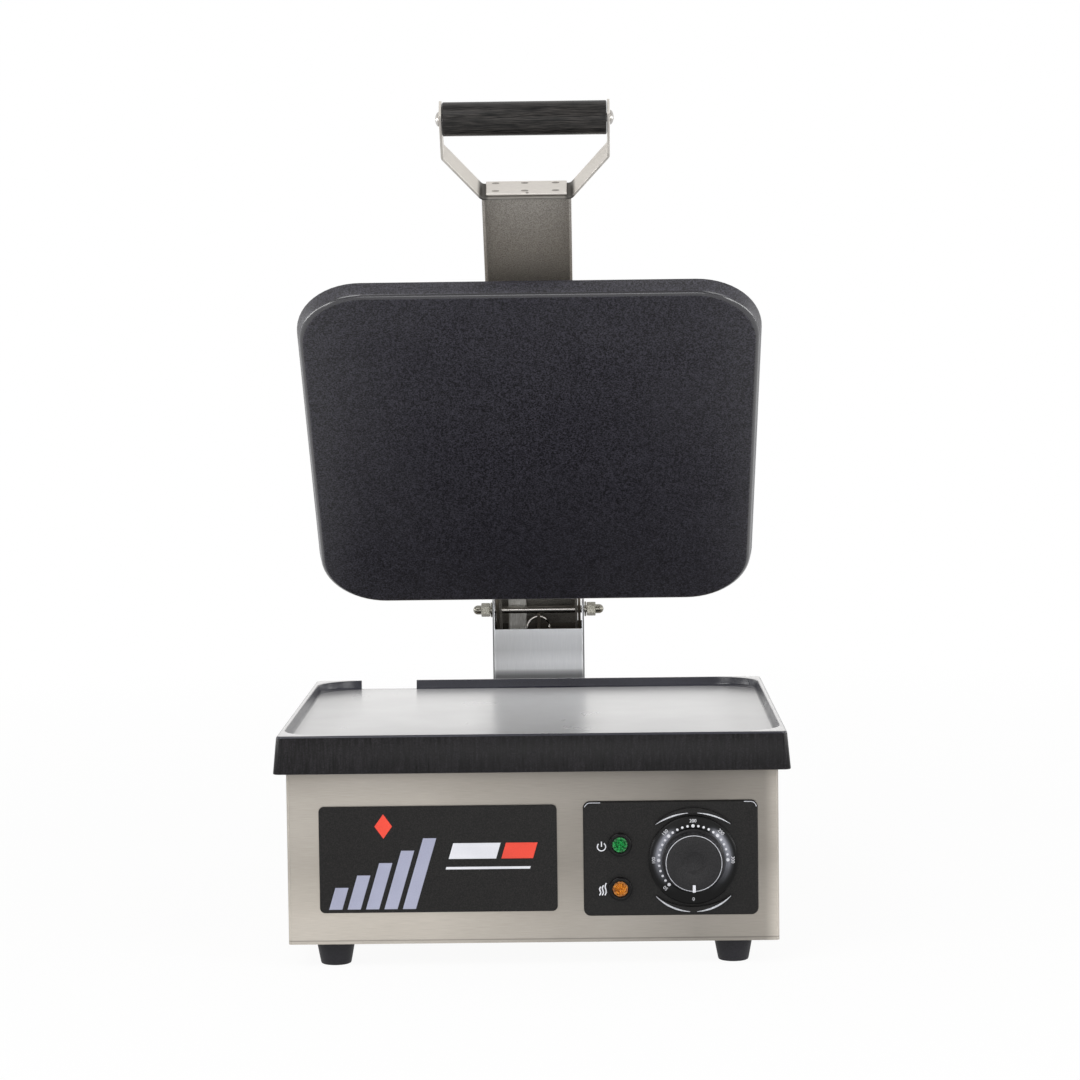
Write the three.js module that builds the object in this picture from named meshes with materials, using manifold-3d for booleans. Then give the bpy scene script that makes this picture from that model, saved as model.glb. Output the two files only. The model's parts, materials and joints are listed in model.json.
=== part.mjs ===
// Sandwich maker with a hinged upper plate, open at rest.
// Millimetres. x to the right, y to the back, z up from the table.
import * as THREE from 'three';
import { mergeVertices } from 'three/addons/utils/BufferGeometryUtils.js';
import Module from 'manifold-3d';

const wasm = await Module();
wasm.setup();

// Clearances and cuts
const GAP = 0.3;
const CUT = 2;
const HALF_SHARE = 0.5;

// Base box
const BASE_HEIGHT = 98.1;
const BASE_BEHIND_POST = 9.9;
const BASE_BEND = 2;
const SHEET = 1.2;
const TOP_FLANGE = 18;
const DECK_DEPTH = 96;
const VENT_WIDTH = 4;
const VENT_LENGTH = 42;
const VENT_PITCH = 12;
const VENT_COUNT = 6;

// Feet
const FOOT_HEIGHT = 14;
const FOOT_TOP_RADIUS = 11.2;
const FOOT_BOTTOM_RADIUS = 8.8;
const FOOT_EDGE = 1;
const FOOT_INSET_X = 25.7;
const FOOT_INSET_Y = 18;
const FOOT_SCREW_RADIUS = 2;
const FOOT_SCREW_LENGTH = 13;
const FOOT_SCREW_HEAD_RADIUS = 4;
const FOOT_SCREW_HEAD_HEIGHT = 2.6;
const FOOT_RECESS_DEPTH = 7;

// Lower plate
const PLATE_WIDTH = 290;
const PLATE_DEPTH = 292;
const PLATE_HEIGHT = 21.7;
const PLATE_FLARE = 2;
const PLATE_OVERHANG = 6;
const PLATE_SIDE_OVERHANG = 5;
const PLATE_CORNER = 3;
const PLATE_WALL = 7;
const RIM_WIDTH = 3;
const RECESS_DEPTH = 5.7;
const RECESS_RADIUS = 28;
const RECESS_DRAFT = 1;
const PLATE_FLOOR = 7;
const NOTCH_WIDTH = 36;
const NOTCH_FROM_SIDE = 47.5;

// Heating elements
const ELEMENT_RADIUS = 3.2;
const ELEMENT_SIDE_MARGIN = 9;
const ELEMENT_END_MARGIN = 53;
const ELEMENT_RUNS = 4;
const ELEMENT_TAIL = 18;
const ELEMENT_DROP = 16;
const ELEMENT_SIDES = 8;
const ELEMENT_STEPS = 46;
const TURN_HANDLE_SHARE = 4 / 3;
const CAPILLARY_SIDES = 6;
const CAPILLARY_STEPS = 24;
const CLAMP_SIDE_MARGIN = 29;
const CLAMP_DEPTH = 150;
const CLAMP_SLOT = 10;
const SHIELD_HEIGHT = 16;
const SHIELD_MARGIN = 6;
const SHIELD_NOTCH = 44;

// Control panel, centred on its own middle
const FASCIA_WIDTH = 99.3;
const FASCIA_HEIGHT = 65.7;
const FASCIA_FROM_SIDE = 61.6;
const FASCIA_BELOW_MIDDLE = 1.05;
const FASCIA_THICKNESS = 2.4;
const FASCIA_CORNER = 4;
const FASCIA_EDGE = 0.8;
const CRESCENT_CLEARANCE = 4.5;
const CRESCENT_SPAN = 43;
const CRESCENT_WIDTH = 2.9;
const CRESCENT_PROUD = 1.6;

// Dial
const DIAL_RIGHT_OF_PANEL = 12.7;
const DIAL_BELOW_PANEL = 0.9;
const DIAL_RADIUS = 25.3;
const DIAL_THICKNESS = 1.4;
const DIAL_BORE = 7;
const DIAL_CHAMFER = 0.9;
const KNOB_FRONT_RADIUS = 16.5;
const KNOB_BASE_RADIUS = 17.8;
const KNOB_HEIGHT = 11.9;
const KNOB_EDGE = 1;
const KNOB_DISH_RADIUS = 6;
const KNOB_DISH_DEPTH = 1.1;
const POINTER_WIDTH = 1.7;
const POINTER_LENGTH = 4.2;
const POINTER_PROUD = 0.35;
const SHAFT_RADIUS = 3;
const SHAFT_IN_KNOB = 8;
const SHAFT_IN_BODY = 12;

// Thermostat
const THERMOSTAT_WIDTH = 34;
const THERMOSTAT_DEPTH = 27;
const THERMOSTAT_HEIGHT = 36;
const THERMOSTAT_CORNER = 3;
const CAPILLARY_RADIUS = 1.1;
const BULB_RADIUS = 2.8;
const BULB_LENGTH = 64;
const CAPILLARY_BEND = 30;

// Pilot lamps
const LAMP_LEFT_OF_PANEL = 28.8;
const LAMP_ABOVE_PANEL = 8.1;
const LAMP_BELOW_PANEL = 17.2;
const BEZEL_LIP = 1.5;
const BEZEL_PROUD = 1.9;
const BEZEL_EDGE = 0.7;
const BARREL_WALL = 0.65;
const BARREL_LENGTH = 19;
const LENS_RADIUS = 4.25;
const LENS_LENGTH = 12;
const LENS_DOME = 1;

// Badge plate
const BADGE_HEIGHT = 61;
const BADGE_THICKNESS = 1;
const BADGE_CORNER = 3;
const BADGE_SIDE_MARGIN = 18.35;
const PANEL_SPACING = 14.9;
const BADGE_BELOW_MIDDLE = 0.35;

// Mains inlet and terminals
const GLAND_FROM_SIDE = 48;
const GLAND_ABOVE_FLOOR = 30;
const GLAND_THREAD_RADIUS = 7.6;
const GLAND_FLANGE_LIP = 2.9;
const GLAND_FLANGE_LENGTH = 4;
const GLAND_DOME_LIP = 1.4;
const GLAND_DOME_LENGTH = 12;
const GLAND_BORE = 4;
const GLAND_TAIL = 9;
const LOCK_NUT_LIP = 3.4;
const LOCK_NUT_THICKNESS = 4;
const TERMINAL_X = -40;
const TERMINAL_BEFORE_POST = 13.1;
const TERMINAL_LENGTH = 46;
const TERMINAL_WIDTH = 20;
const TERMINAL_HEIGHT = 17;
const TERMINAL_POLES = 4;
const TERMINAL_BORE = 2.2;
const EARTH_BESIDE_GLAND = 16;
const EARTH_BEHIND_TERMINALS = 6;
const EARTH_RADIUS = 2;
const EARTH_LENGTH = 16;
const EARTH_NUT_RADIUS = 4;
const EARTH_NUT_HEIGHT = 3.2;

// Hinge post
const POST_RUNNING_GAP = 0.8;
const POST_BEHIND_PLATE = 35.1;
const POST_DEPTH = 40;
const POST_SHEET = 1.5;
const POST_WEB_BELOW_AXLE = 11.9;
const POST_CHEEK_ABOVE_AXLE = 13;
const POST_REAR_BELOW_AXLE = 9.9;
const POST_TOP_RADIUS = 12;
const POST_FLANGE = 15;
const POST_HOLE_MARGIN = 5;
const POST_BOLT_RADIUS = 2.5;
const POST_BOLT_HEAD_RADIUS = 4.4;
const POST_BOLT_HEAD_HEIGHT = 3.2;
const POST_BOLT_LENGTH = 12;
const POST_BOLT_INSET = 9;

// Axle of the lid
const AXLE_BEHIND_WEB = 14.1;
const AXLE_ABOVE_DECK = 62.5;
const AXLE_RADIUS = 2.5;
const WASHER_RADIUS = 5;
const WASHER_THICKNESS = 1.2;
const NUT_FLATS = 8;
const NUT_HEIGHT = 5.9;
const CAP_RADIUS = 3.1;
const CAP_LENGTH = 5.4;
const CAP_BORE_DEPTH = 8;
const STOP_PIN_RADIUS = 2.5;
const STOP_PIN_FORWARD = 8;
const STOP_PIN_BELOW = 22;

// Lid arm, measured along the arm from the axle and square to it
const LID_OPEN_DEGREES = 45.3;
const ARM_WIDTH = 52.2;
const ARM_BEYOND_PLATE = 38;
const ARM_TAIL = 22;
const ARM_LOW = -4.8;
const ARM_HIGH = 8.2;
const ARM_SHEET = 1.5;
const ARM_BEND = 1.8;
const SIDE_PLATE_SHEET = 1.8;
const SIDE_PLATE_REACH = 62;
const SIDE_PLATE_LOW = -6;
const SIDE_PLATE_HIGH = 9;
const SIDE_PLATE_CORNER = 5;

// Handle
const STRAP_SHEET = 1.5;
const STRAP_BEND = 3;
const HANDLE_HALF_WIDTH = 48.7;
const HANDLE_SPREAD_LENGTH = 32.8;
const HANDLE_TIP_MARGIN = 8.3;
const GRIP_BEYOND_BEND = 24.5;
const GRIP_RADIUS = 9.7;
const GRIP_SIDES = 28;
const GRIP_EDGE = 0.8;
const HANDLE_SCREW_RADIUS = 2.5;
const HANDLE_SCREW_LENGTH = 22;
const HANDLE_HEAD_RADIUS = 4.2;
const HANDLE_HEAD_HEIGHT = 2;
const WELD_PLATE_SHEET = 1.5;

// Upper plate
const UPPER_CLEARANCE = 3.5;
const UPPER_THICKNESS = 10.5;
const UPPER_CORNER = 40;
const UPPER_FLARE = 2;
const UPPER_EDGE = 2.4;
const UPPER_RIM = 10;
const UPPER_POCKET = 4;
const CLOSED_GAP = 3.4;
const BLANKET_MARGIN = 26;
const BLANKET_THICKNESS = 7;
const COVER_INSET = 8;
const COVER_ARM_GAP = 4.5;
const COVER_TOP_CORNER = 14;

// Float joint that carries the upper plate under the arm
const FLOAT_RAISE = 1;
const FLOAT_PIN_RADIUS = 2.5;
const FLOAT_PIN_HEAD_RADIUS = 4.5;
const FLOAT_PIN_HEAD = 1.5;
const BRACKET_LENGTH = 40;
const BRACKET_SHEET = 1.5;
const BRACKET_EAR_MARGIN = 1.1;

// Wire sleeve
const SLEEVE_WIDTH = 12.2;
const SLEEVE_THICKNESS = 3;
const SLEEVE_SPRING_GAP = 0.85;
const SLEEVE_ENTRY = 118;
const SLEEVE_BEND = 8;
const SLEEVE_HOLE_MARGIN = 2.6;
const SLEEVE_LOWER_SHIFT = 1.4;
const SLEEVE_ABOVE_DECK = 30.6;
const SLEEVE_BEHIND_SPRING = 5.5;

// Counterbalance spring
const SPRING_RADIUS = 7.8;
const SPRING_WIRE = 0.85;
const SPRING_CURLS = 26;
const SPRING_ABOVE_FLOOR = 46.8;
const SPRING_RISE = 1.8;
const SPRING_STEPS_PER_CURL = 8;
const SPRING_SIDES = 5;
const SPRING_LEAST_GAP = 0.4;
const HOOK_SWING_DEGREES = 165;
const HOOK_TURN_DEGREES = 50;
const HOOK_STEP_DEGREES = 15;
const HOOK_HOLE_REACH = -9.9;
const HOOK_HOLE_RAISE = 2.5;
const HOOK_HOLE_RADIUS = 1.6;
const HOOK_SHEET = 1.8;
const HOOK_BEFORE_HOLE = 5.7;
const HOOK_BEHIND_HOLE = 10.1;
const HOOK_BELOW_HOLE = 3.9;
const ANCHOR_WIDTH = 16;
const ANCHOR_FOOT = 15;
const ANCHOR_MARGIN = 4.5;

// Smoothness of round shapes
const HEXAGON_SIDES = 6;
const ROUND = 32;
const SMALL_ROUND = 16;
const SCREW_SIDES = 12;
const CORNER_STEPS = 6;

// Widths and depths that follow from the lower plate and the arm
const BASE_WIDTH = PLATE_WIDTH - 2 * PLATE_SIDE_OVERHANG;
const PLATE_CENTRE_Y = PLATE_FLARE - PLATE_OVERHANG + PLATE_DEPTH * HALF_SHARE;
const PLATE_BACK = PLATE_CENTRE_Y + PLATE_DEPTH * HALF_SHARE + PLATE_FLARE;
const POST_FRONT = PLATE_BACK + POST_BEHIND_PLATE;
const POST_WIDTH = ARM_WIDTH + 2 * (GAP + SIDE_PLATE_SHEET + POST_RUNNING_GAP + POST_SHEET);
const BASE_DEPTH = POST_FRONT + POST_DEPTH + BASE_BEHIND_POST;
const AXLE_Y = POST_FRONT + AXLE_BEHIND_WEB;
const PLATE_REACH = AXLE_Y - PLATE_CENTRE_Y;
const UPPER_WIDTH = PLATE_WIDTH - 2 * (RIM_WIDTH + UPPER_CLEARANCE);
const UPPER_DEPTH = PLATE_DEPTH - 2 * (RIM_WIDTH + UPPER_CLEARANCE);
const ELEMENT_SPACING = (PLATE_WIDTH - 2 * ELEMENT_SIDE_MARGIN) / ELEMENT_RUNS;
const ELEMENT_RUN = PLATE_DEPTH - 2 * ELEMENT_END_MARGIN;
const CLAMP_WIDTH = PLATE_WIDTH - 2 * CLAMP_SIDE_MARGIN;

// Heights
const BASE_TOP = FOOT_HEIGHT + BASE_HEIGHT;
const BASE_MIDDLE = FOOT_HEIGHT + BASE_HEIGHT * HALF_SHARE;
const FLOOR_TOP = FOOT_HEIGHT + SHEET;
const PLATE_BOTTOM = BASE_TOP + GAP;
const RIM_TOP = PLATE_BOTTOM + PLATE_HEIGHT;
const RECESS_FLOOR = RIM_TOP - RECESS_DEPTH;
const PLATE_UNDERSIDE = RECESS_FLOOR - PLATE_FLOOR;
const POST_BASE = BASE_TOP + GAP;
const AXLE_Z = POST_BASE + AXLE_ABOVE_DECK;

// Front panel
const FASCIA_CENTRE_X = BASE_WIDTH * HALF_SHARE - FASCIA_FROM_SIDE;
const FASCIA_CENTRE_Z = BASE_MIDDLE - FASCIA_BELOW_MIDDLE;
const DIAL_X = FASCIA_CENTRE_X + DIAL_RIGHT_OF_PANEL;
const DIAL_Z = FASCIA_CENTRE_Z - DIAL_BELOW_PANEL;
const LAMP_X = FASCIA_CENTRE_X - LAMP_LEFT_OF_PANEL;
const LAMP_UPPER_Z = FASCIA_CENTRE_Z + LAMP_ABOVE_PANEL;
const LAMP_LOWER_Z = FASCIA_CENTRE_Z - LAMP_BELOW_PANEL;
const CRESCENT_RADIUS = DIAL_RADIUS + CRESCENT_CLEARANCE;
const BARREL_RADIUS = LENS_RADIUS + GAP + BARREL_WALL;
const BEZEL_RADIUS = BARREL_RADIUS + BEZEL_LIP;
const BADGE_WIDTH = BASE_WIDTH - FASCIA_FROM_SIDE - FASCIA_WIDTH * HALF_SHARE
  - PANEL_SPACING - BADGE_SIDE_MARGIN;
const BADGE_CENTRE_X = BADGE_SIDE_MARGIN + (BADGE_WIDTH - BASE_WIDTH) * HALF_SHARE;
const BADGE_CENTRE_Z = BASE_MIDDLE - BADGE_BELOW_MIDDLE;
const PANEL_FRONT = -GAP - FASCIA_THICKNESS;
const DIAL_BACK = PANEL_FRONT - GAP;
const DIAL_FRONT = DIAL_BACK - DIAL_THICKNESS;
const KNOB_BACK = DIAL_FRONT - GAP;
const KNOB_FRONT = KNOB_BACK - KNOB_HEIGHT - POINTER_PROUD;

// Mains inlet and terminals
const GLAND_X = GLAND_FROM_SIDE - BASE_WIDTH * HALF_SHARE;
const GLAND_Z = FOOT_HEIGHT + GLAND_ABOVE_FLOOR;
const GLAND_FLANGE_RADIUS = GLAND_THREAD_RADIUS + GLAND_FLANGE_LIP;
const GLAND_DOME_RADIUS = GLAND_THREAD_RADIUS + GLAND_DOME_LIP;
const LOCK_NUT_RADIUS = GLAND_THREAD_RADIUS + LOCK_NUT_LIP;
const GLAND_END = BASE_DEPTH + GAP + GLAND_FLANGE_LENGTH + GLAND_DOME_LENGTH;
const TERMINAL_Y = POST_FRONT - TERMINAL_BEFORE_POST;
const EARTH_X = GLAND_X - EARTH_BESIDE_GLAND;
const EARTH_Y = TERMINAL_Y + EARTH_BEHIND_TERMINALS;

// Lid
const ARM_LENGTH = PLATE_REACH + UPPER_DEPTH * HALF_SHARE + ARM_BEYOND_PLATE;
const STRAP_WIDTH = ARM_HIGH - ARM_LOW - GAP;
const STRAP_MIDDLE = ARM_LOW + STRAP_WIDTH * HALF_SHARE;
const HANDLE_BEND_REACH = ARM_LENGTH + HANDLE_SPREAD_LENGTH;
const GRIP_REACH = HANDLE_BEND_REACH + GRIP_BEYOND_BEND;
const HANDLE_TIP_REACH = GRIP_REACH + HANDLE_TIP_MARGIN;
const FACE_LEVEL = RECESS_FLOOR + CLOSED_GAP - AXLE_Z;
const BACK_LEVEL = FACE_LEVEL + UPPER_THICKNESS;
const COVER_TOP_LEVEL = ARM_LOW - COVER_ARM_GAP;
const COVER_HEIGHT = COVER_TOP_LEVEL - BACK_LEVEL - GAP;
const BRACKET_EAR_HEIGHT = ARM_HIGH - ARM_SHEET - BRACKET_EAR_MARGIN - FLOAT_RAISE;

// Spring and sleeve
const HOOK_HOLE = hookHoleOffset();
const SPRING_Y = AXLE_Y + HOOK_HOLE.back;
const SPRING_TOP = AXLE_Z + HOOK_HOLE.up - SPRING_RADIUS - SPRING_RISE;
const SPRING_BOTTOM = FLOOR_TOP + SPRING_ABOVE_FLOOR;
const SLEEVE_LOWER_X = -(SPRING_RADIUS + SPRING_WIRE + SLEEVE_SPRING_GAP + SLEEVE_WIDTH * HALF_SHARE);
const SLEEVE_LOWER_Y = SPRING_Y + SLEEVE_BEHIND_SPRING;
const SLEEVE_LOWER_TOP = POST_BASE + SLEEVE_ABOVE_DECK;
const SLEEVE_X = SLEEVE_LOWER_X + SLEEVE_LOWER_SHIFT;

// Middle between the furthest points at the front and at the back
const ORIGIN_Y = (GLAND_END + KNOB_FRONT) * HALF_SHARE;

// Colours and finishes
const finish = (color, roughness, metalness) => (
  new THREE.MeshStandardMaterial({ color, roughness, metalness })
);
const steel = () => finish(0xb9b4aa, 0.38, 1);
const brightSteel = () => finish(0xd2cfc8, 0.25, 1);
const castBlack = () => finish(0x25252a, 0.5, 0.2);
const blackPlastic = () => finish(0x1a1a1c, 0.45, 0);
const blackRubber = () => finish(0x1d1d1f, 0.85, 0);
const darkSteel = () => finish(0x6d6c69, 0.5, 1);
const whiteSleeve = () => finish(0xe6e4dc, 0.8, 0);
const greenLens = () => finish(0x14a046, 0.25, 0);
const amberLens = () => finish(0xd9801e, 0.25, 0);

// The hole in the hook plate, as a way back and up from the axle when the lid is open as at rest
function hookHoleOffset() {
  const open = THREE.MathUtils.degToRad(LID_OPEN_DEGREES);
  return {
    back: -HOOK_HOLE_REACH * Math.cos(open) + HOOK_HOLE_RAISE * Math.sin(open),
    up: HOOK_HOLE_REACH * Math.sin(open) + HOOK_HOLE_RAISE * Math.cos(open),
  };
}

// Solids from geometry
function solid(geometry) {
  const bare = geometry.clone();
  bare.deleteAttribute('normal');
  bare.deleteAttribute('uv');
  const welded = mergeVertices(bare);
  const index = welded.index.array;
  const kept = [];
  for (let i = 0; i < index.length; i += 3) {
    const [a, b, c] = [index[i], index[i + 1], index[i + 2]];
    if (a !== b && b !== c && c !== a) kept.push(a, b, c);
  }
  const vertProperties = new Float32Array(welded.attributes.position.array);
  return new wasm.Manifold(new wasm.Mesh({ numProp: 3, vertProperties, triVerts: new Uint32Array(kept) }));
}

function geometryOf(body) {
  const mesh = body.getMesh();
  const geometry = new THREE.BufferGeometry();
  geometry.setAttribute('position', new THREE.BufferAttribute(mesh.vertProperties, 3));
  geometry.setIndex(new THREE.BufferAttribute(mesh.triVerts, 1));
  geometry.computeVertexNormals();
  return geometry;
}

function part(name, body, material) {
  const mesh = new THREE.Mesh(body.isBufferGeometry ? body : geometryOf(body), material);
  mesh.name = name;
  return mesh;
}

// A block given by its lowest and highest corner
function block(low, high) {
  const size = high.map((value, i) => value - low[i]);
  const centre = high.map((value, i) => (value + low[i]) * HALF_SHARE);
  return solid(new THREE.BoxGeometry(...size).translate(...centre));
}

// A rod along one axis from one place to another
function rod(axis, from, to, radius, at, sides = SMALL_ROUND) {
  const geometry = new THREE.CylinderGeometry(radius, radius, to - from, sides);
  if (axis === 'x') geometry.rotateZ(-Math.PI / 2);
  if (axis === 'z') geometry.rotateX(Math.PI / 2);
  const middle = (from + to) * HALF_SHARE;
  const [first, second] = at;
  if (axis === 'x') geometry.translate(middle, first, second);
  if (axis === 'y') geometry.translate(first, middle, second);
  if (axis === 'z') geometry.translate(first, second, middle);
  return solid(geometry);
}

// A turned piece whose profile holds radius and height; the axis is z
function turned(profile, sides = SMALL_ROUND) {
  const points = profile.map(([radius, height]) => new THREE.Vector2(radius, height));
  return new THREE.LatheGeometry(points, sides).rotateX(Math.PI / 2);
}

// Turned geometry laid along x or y; heights then run towards the named end
function laid(geometry, towards) {
  if (towards === '-y') geometry.rotateX(Math.PI / 2);
  if (towards === '+y') geometry.rotateX(-Math.PI / 2);
  if (towards === '+x') geometry.rotateY(Math.PI / 2);
  if (towards === '-x') geometry.rotateY(-Math.PI / 2);
  return geometry;
}

function roundedRect(width, height, radius) {
  const [x, y] = [width * HALF_SHARE, height * HALF_SHARE];
  const shape = new THREE.Shape();
  shape.moveTo(x, -y + radius);
  shape.absarc(x - radius, y - radius, radius, 0, Math.PI / 2);
  shape.absarc(-x + radius, y - radius, radius, Math.PI / 2, Math.PI);
  shape.absarc(-x + radius, -y + radius, radius, Math.PI, Math.PI * 3 / 2);
  shape.absarc(x - radius, -y + radius, radius, Math.PI * 3 / 2, Math.PI * 2);
  return shape;
}

function extrude(shape, depth, options = {}) {
  const plain = { depth, bevelEnabled: false, curveSegments: CORNER_STEPS };
  return new THREE.ExtrudeGeometry(shape, { ...plain, ...options });
}

// Moves the outline outwards by spread at the height far, by nothing at the height near
function flare(geometry, near, far, spread) {
  const position = geometry.attributes.position;
  for (let i = 0; i < position.count; i += 1) {
    const share = THREE.MathUtils.clamp((position.getZ(i) - near) / (far - near), 0, 1);
    position.setX(i, position.getX(i) + Math.sign(position.getX(i)) * spread * share);
    position.setY(i, position.getY(i) + Math.sign(position.getY(i)) * spread * share);
  }
  return geometry;
}

// A sheet whose outline lies in the yz plane, spread along x from one place to another
function sideSheet(shape, from, to) {
  return solid(extrude(shape, to - from).rotateX(Math.PI / 2).rotateZ(Math.PI / 2).translate(from, 0, 0));
}

// A wall that stands in the xz plane, its front at the given y
function frontSheet(shape, front, thickness, options) {
  return solid(extrude(shape, thickness, options).rotateX(Math.PI / 2).translate(0, front + thickness, 0));
}

// Bent strip: the outline of a sheet of even thickness along a line with rounded bends
function bentStrip(points, thickness, bend) {
  const line = points.map(([x, y]) => new THREE.Vector2(x, y));
  const side = (distance) => line.map((point, i) => {
    const before = line[Math.max(i - 1, 0)];
    const after = line[Math.min(i + 1, line.length - 1)];
    const first = point.clone().sub(i ? before : point.clone().multiplyScalar(2).sub(after)).normalize();
    const last = i === line.length - 1 ? first : after.clone().sub(point).normalize();
    const normal = new THREE.Vector2(-first.y - last.y, first.x + last.x).normalize();
    const reach = distance / normal.dot(new THREE.Vector2(-first.y, first.x));
    return point.clone().addScaledVector(normal, reach);
  });
  const shape = new THREE.Shape();
  const trace = (corners) => corners.forEach((corner, i) => {
    const before = corners[i - 1];
    const after = corners[i + 1];
    if (!before || !after) {
      shape.lineTo(corner.x, corner.y);
      return;
    }
    const start = corner.clone().addScaledVector(before.clone().sub(corner).normalize(), bend);
    const end = corner.clone().addScaledVector(after.clone().sub(corner).normalize(), bend);
    shape.lineTo(start.x, start.y);
    shape.quadraticCurveTo(corner.x, corner.y, end.x, end.y);
  });
  const upper = side(thickness * HALF_SHARE);
  shape.moveTo(upper[0].x, upper[0].y);
  trace(upper);
  trace(side(-thickness * HALF_SHARE).reverse());
  return shape;
}

function polygon(radius, sides) {
  return new THREE.Shape(Array.from({ length: sides }, (_, i) => {
    const turn = i / sides * Math.PI * 2;
    return new THREE.Vector2(radius * Math.cos(turn), radius * Math.sin(turn));
  }));
}

function hexagon(radius) {
  return polygon(radius, HEXAGON_SIDES);
}

// A round tube along a curve
function tube(curve, radius, sides, steps) {
  return solid(new THREE.ExtrudeGeometry(polygon(radius, sides), { extrudePath: curve, steps }));
}

// Base box
function baseShell() {
  const [x, inner] = [BASE_WIDTH * HALF_SHARE, BASE_WIDTH * HALF_SHARE - SHEET];
  const outline = roundedRect(BASE_WIDTH, BASE_DEPTH, BASE_BEND);
  const box = solid(extrude(outline, BASE_HEIGHT).translate(0, BASE_DEPTH * HALF_SHARE, FOOT_HEIGHT));
  const hollow = block([-inner, SHEET, FOOT_HEIGHT - CUT], [inner, BASE_DEPTH + CUT, BASE_TOP - SHEET]);
  const opening = block(
    [-x + TOP_FLANGE, TOP_FLANGE, BASE_TOP - SHEET - CUT],
    [x - TOP_FLANGE, BASE_DEPTH - DECK_DEPTH, BASE_TOP + CUT],
  );
  const wireHole = block(
    [-POST_WIDTH * HALF_SHARE + POST_HOLE_MARGIN, POST_FRONT + POST_HOLE_MARGIN, BASE_TOP - SHEET - CUT],
    [POST_WIDTH * HALF_SHARE - POST_HOLE_MARGIN, POST_FRONT + POST_DEPTH - POST_HOLE_MARGIN, BASE_TOP + CUT],
  );
  const shaftHole = rod('y', -CUT, SHEET + CUT, SHAFT_RADIUS + SHEET, [DIAL_X, DIAL_Z]);
  const lampHoles = [LAMP_UPPER_Z, LAMP_LOWER_Z].map((z) => (
    rod('y', -CUT, SHEET + CUT, BARREL_RADIUS + GAP, [LAMP_X, z])
  ));
  const boltHoles = postBoltPlaces().map((at) => (
    rod('z', BASE_TOP - SHEET - CUT, BASE_TOP + CUT, POST_BOLT_RADIUS + GAP, at)
  ));
  const cuts = [hollow, opening, wireHole, shaftHole, ...lampHoles, ...boltHoles];
  return cuts.reduce((body, cut) => body.subtract(cut), box);
}

function ventCuts(make) {
  return Array.from({ length: VENT_COUNT }, (_, i) => make((i - (VENT_COUNT - 1) * HALF_SHARE) * VENT_PITCH));
}

function baseFloor() {
  const x = BASE_WIDTH * HALF_SHARE - SHEET - GAP;
  const sheet = block([-x, SHEET + GAP, FOOT_HEIGHT], [x, BASE_DEPTH, FLOOR_TOP]);
  const screwHoles = footPlaces().map(([, ...at]) => (
    rod('z', FOOT_HEIGHT - CUT, FLOOR_TOP + CUT, FOOT_SCREW_RADIUS + GAP, at)
  ));
  const vents = ventCuts((shift) => block(
    [shift - VENT_WIDTH * HALF_SHARE, PLATE_CENTRE_Y - VENT_LENGTH, FOOT_HEIGHT - CUT],
    [shift + VENT_WIDTH * HALF_SHARE, PLATE_CENTRE_Y + VENT_LENGTH, FLOOR_TOP + CUT],
  ));
  return [...screwHoles, ...vents].reduce((body, cut) => body.subtract(cut), sheet);
}

function backPanel() {
  const x = BASE_WIDTH * HALF_SHARE - SHEET - GAP;
  const sheet = block([-x, BASE_DEPTH - SHEET, FLOOR_TOP + GAP], [x, BASE_DEPTH, BASE_TOP - SHEET - GAP]);
  const bore = GLAND_THREAD_RADIUS + GAP;
  const glandHole = rod('y', BASE_DEPTH - SHEET - CUT, BASE_DEPTH + CUT, bore, [GLAND_X, GLAND_Z]);
  const vents = ventCuts((shift) => block(
    [-GLAND_X + shift - VENT_WIDTH * HALF_SHARE, BASE_DEPTH - SHEET - CUT, GLAND_Z - VENT_LENGTH * HALF_SHARE],
    [-GLAND_X + shift + VENT_WIDTH * HALF_SHARE, BASE_DEPTH + CUT, GLAND_Z + VENT_LENGTH * HALF_SHARE],
  ));
  return [glandHole, ...vents].reduce((body, cut) => body.subtract(cut), sheet);
}

// Feet
function footPlaces() {
  const x = BASE_WIDTH * HALF_SHARE - FOOT_INSET_X;
  return [
    ['front_left', -x, FOOT_INSET_Y],
    ['front_right', x, FOOT_INSET_Y],
    ['rear_left', -x, BASE_DEPTH - FOOT_INSET_Y],
    ['rear_right', x, BASE_DEPTH - FOOT_INSET_Y],
  ];
}

function foot() {
  const [hole, pocket] = [FOOT_SCREW_RADIUS + GAP, FOOT_SCREW_HEAD_RADIUS + GAP];
  return solid(turned([
    [pocket, 0],
    [FOOT_BOTTOM_RADIUS - FOOT_EDGE, 0],
    [FOOT_BOTTOM_RADIUS, FOOT_EDGE],
    [FOOT_TOP_RADIUS, FOOT_HEIGHT - GAP],
    [hole, FOOT_HEIGHT - GAP],
    [hole, FOOT_RECESS_DEPTH],
    [pocket, FOOT_RECESS_DEPTH],
    [pocket, 0],
  ]));
}

// A screw with a low domed head; its head starts at zero and its shank runs up
function screw(headRadius, headHeight, radius, length, sides = SCREW_SIDES) {
  return turned([
    [0, -headHeight],
    [headRadius * HALF_SHARE, -headHeight],
    [headRadius, -headHeight * HALF_SHARE],
    [headRadius, 0],
    [radius, 0],
    [radius, length],
    [0, length],
  ], sides);
}

function addFeet(group) {
  footPlaces().forEach(([place, x, y]) => {
    const rubber = part(`foot_${place}`, foot(), blackRubber());
    rubber.position.set(x, y, 0);
    const bolt = screw(FOOT_SCREW_HEAD_RADIUS, FOOT_SCREW_HEAD_HEIGHT, FOOT_SCREW_RADIUS, FOOT_SCREW_LENGTH);
    const fixing = part(`foot_screw_${place}`, solid(bolt), darkSteel());
    fixing.position.set(x, y, FOOT_RECESS_DEPTH - GAP);
    group.add(rubber, fixing);
  });
}

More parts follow.
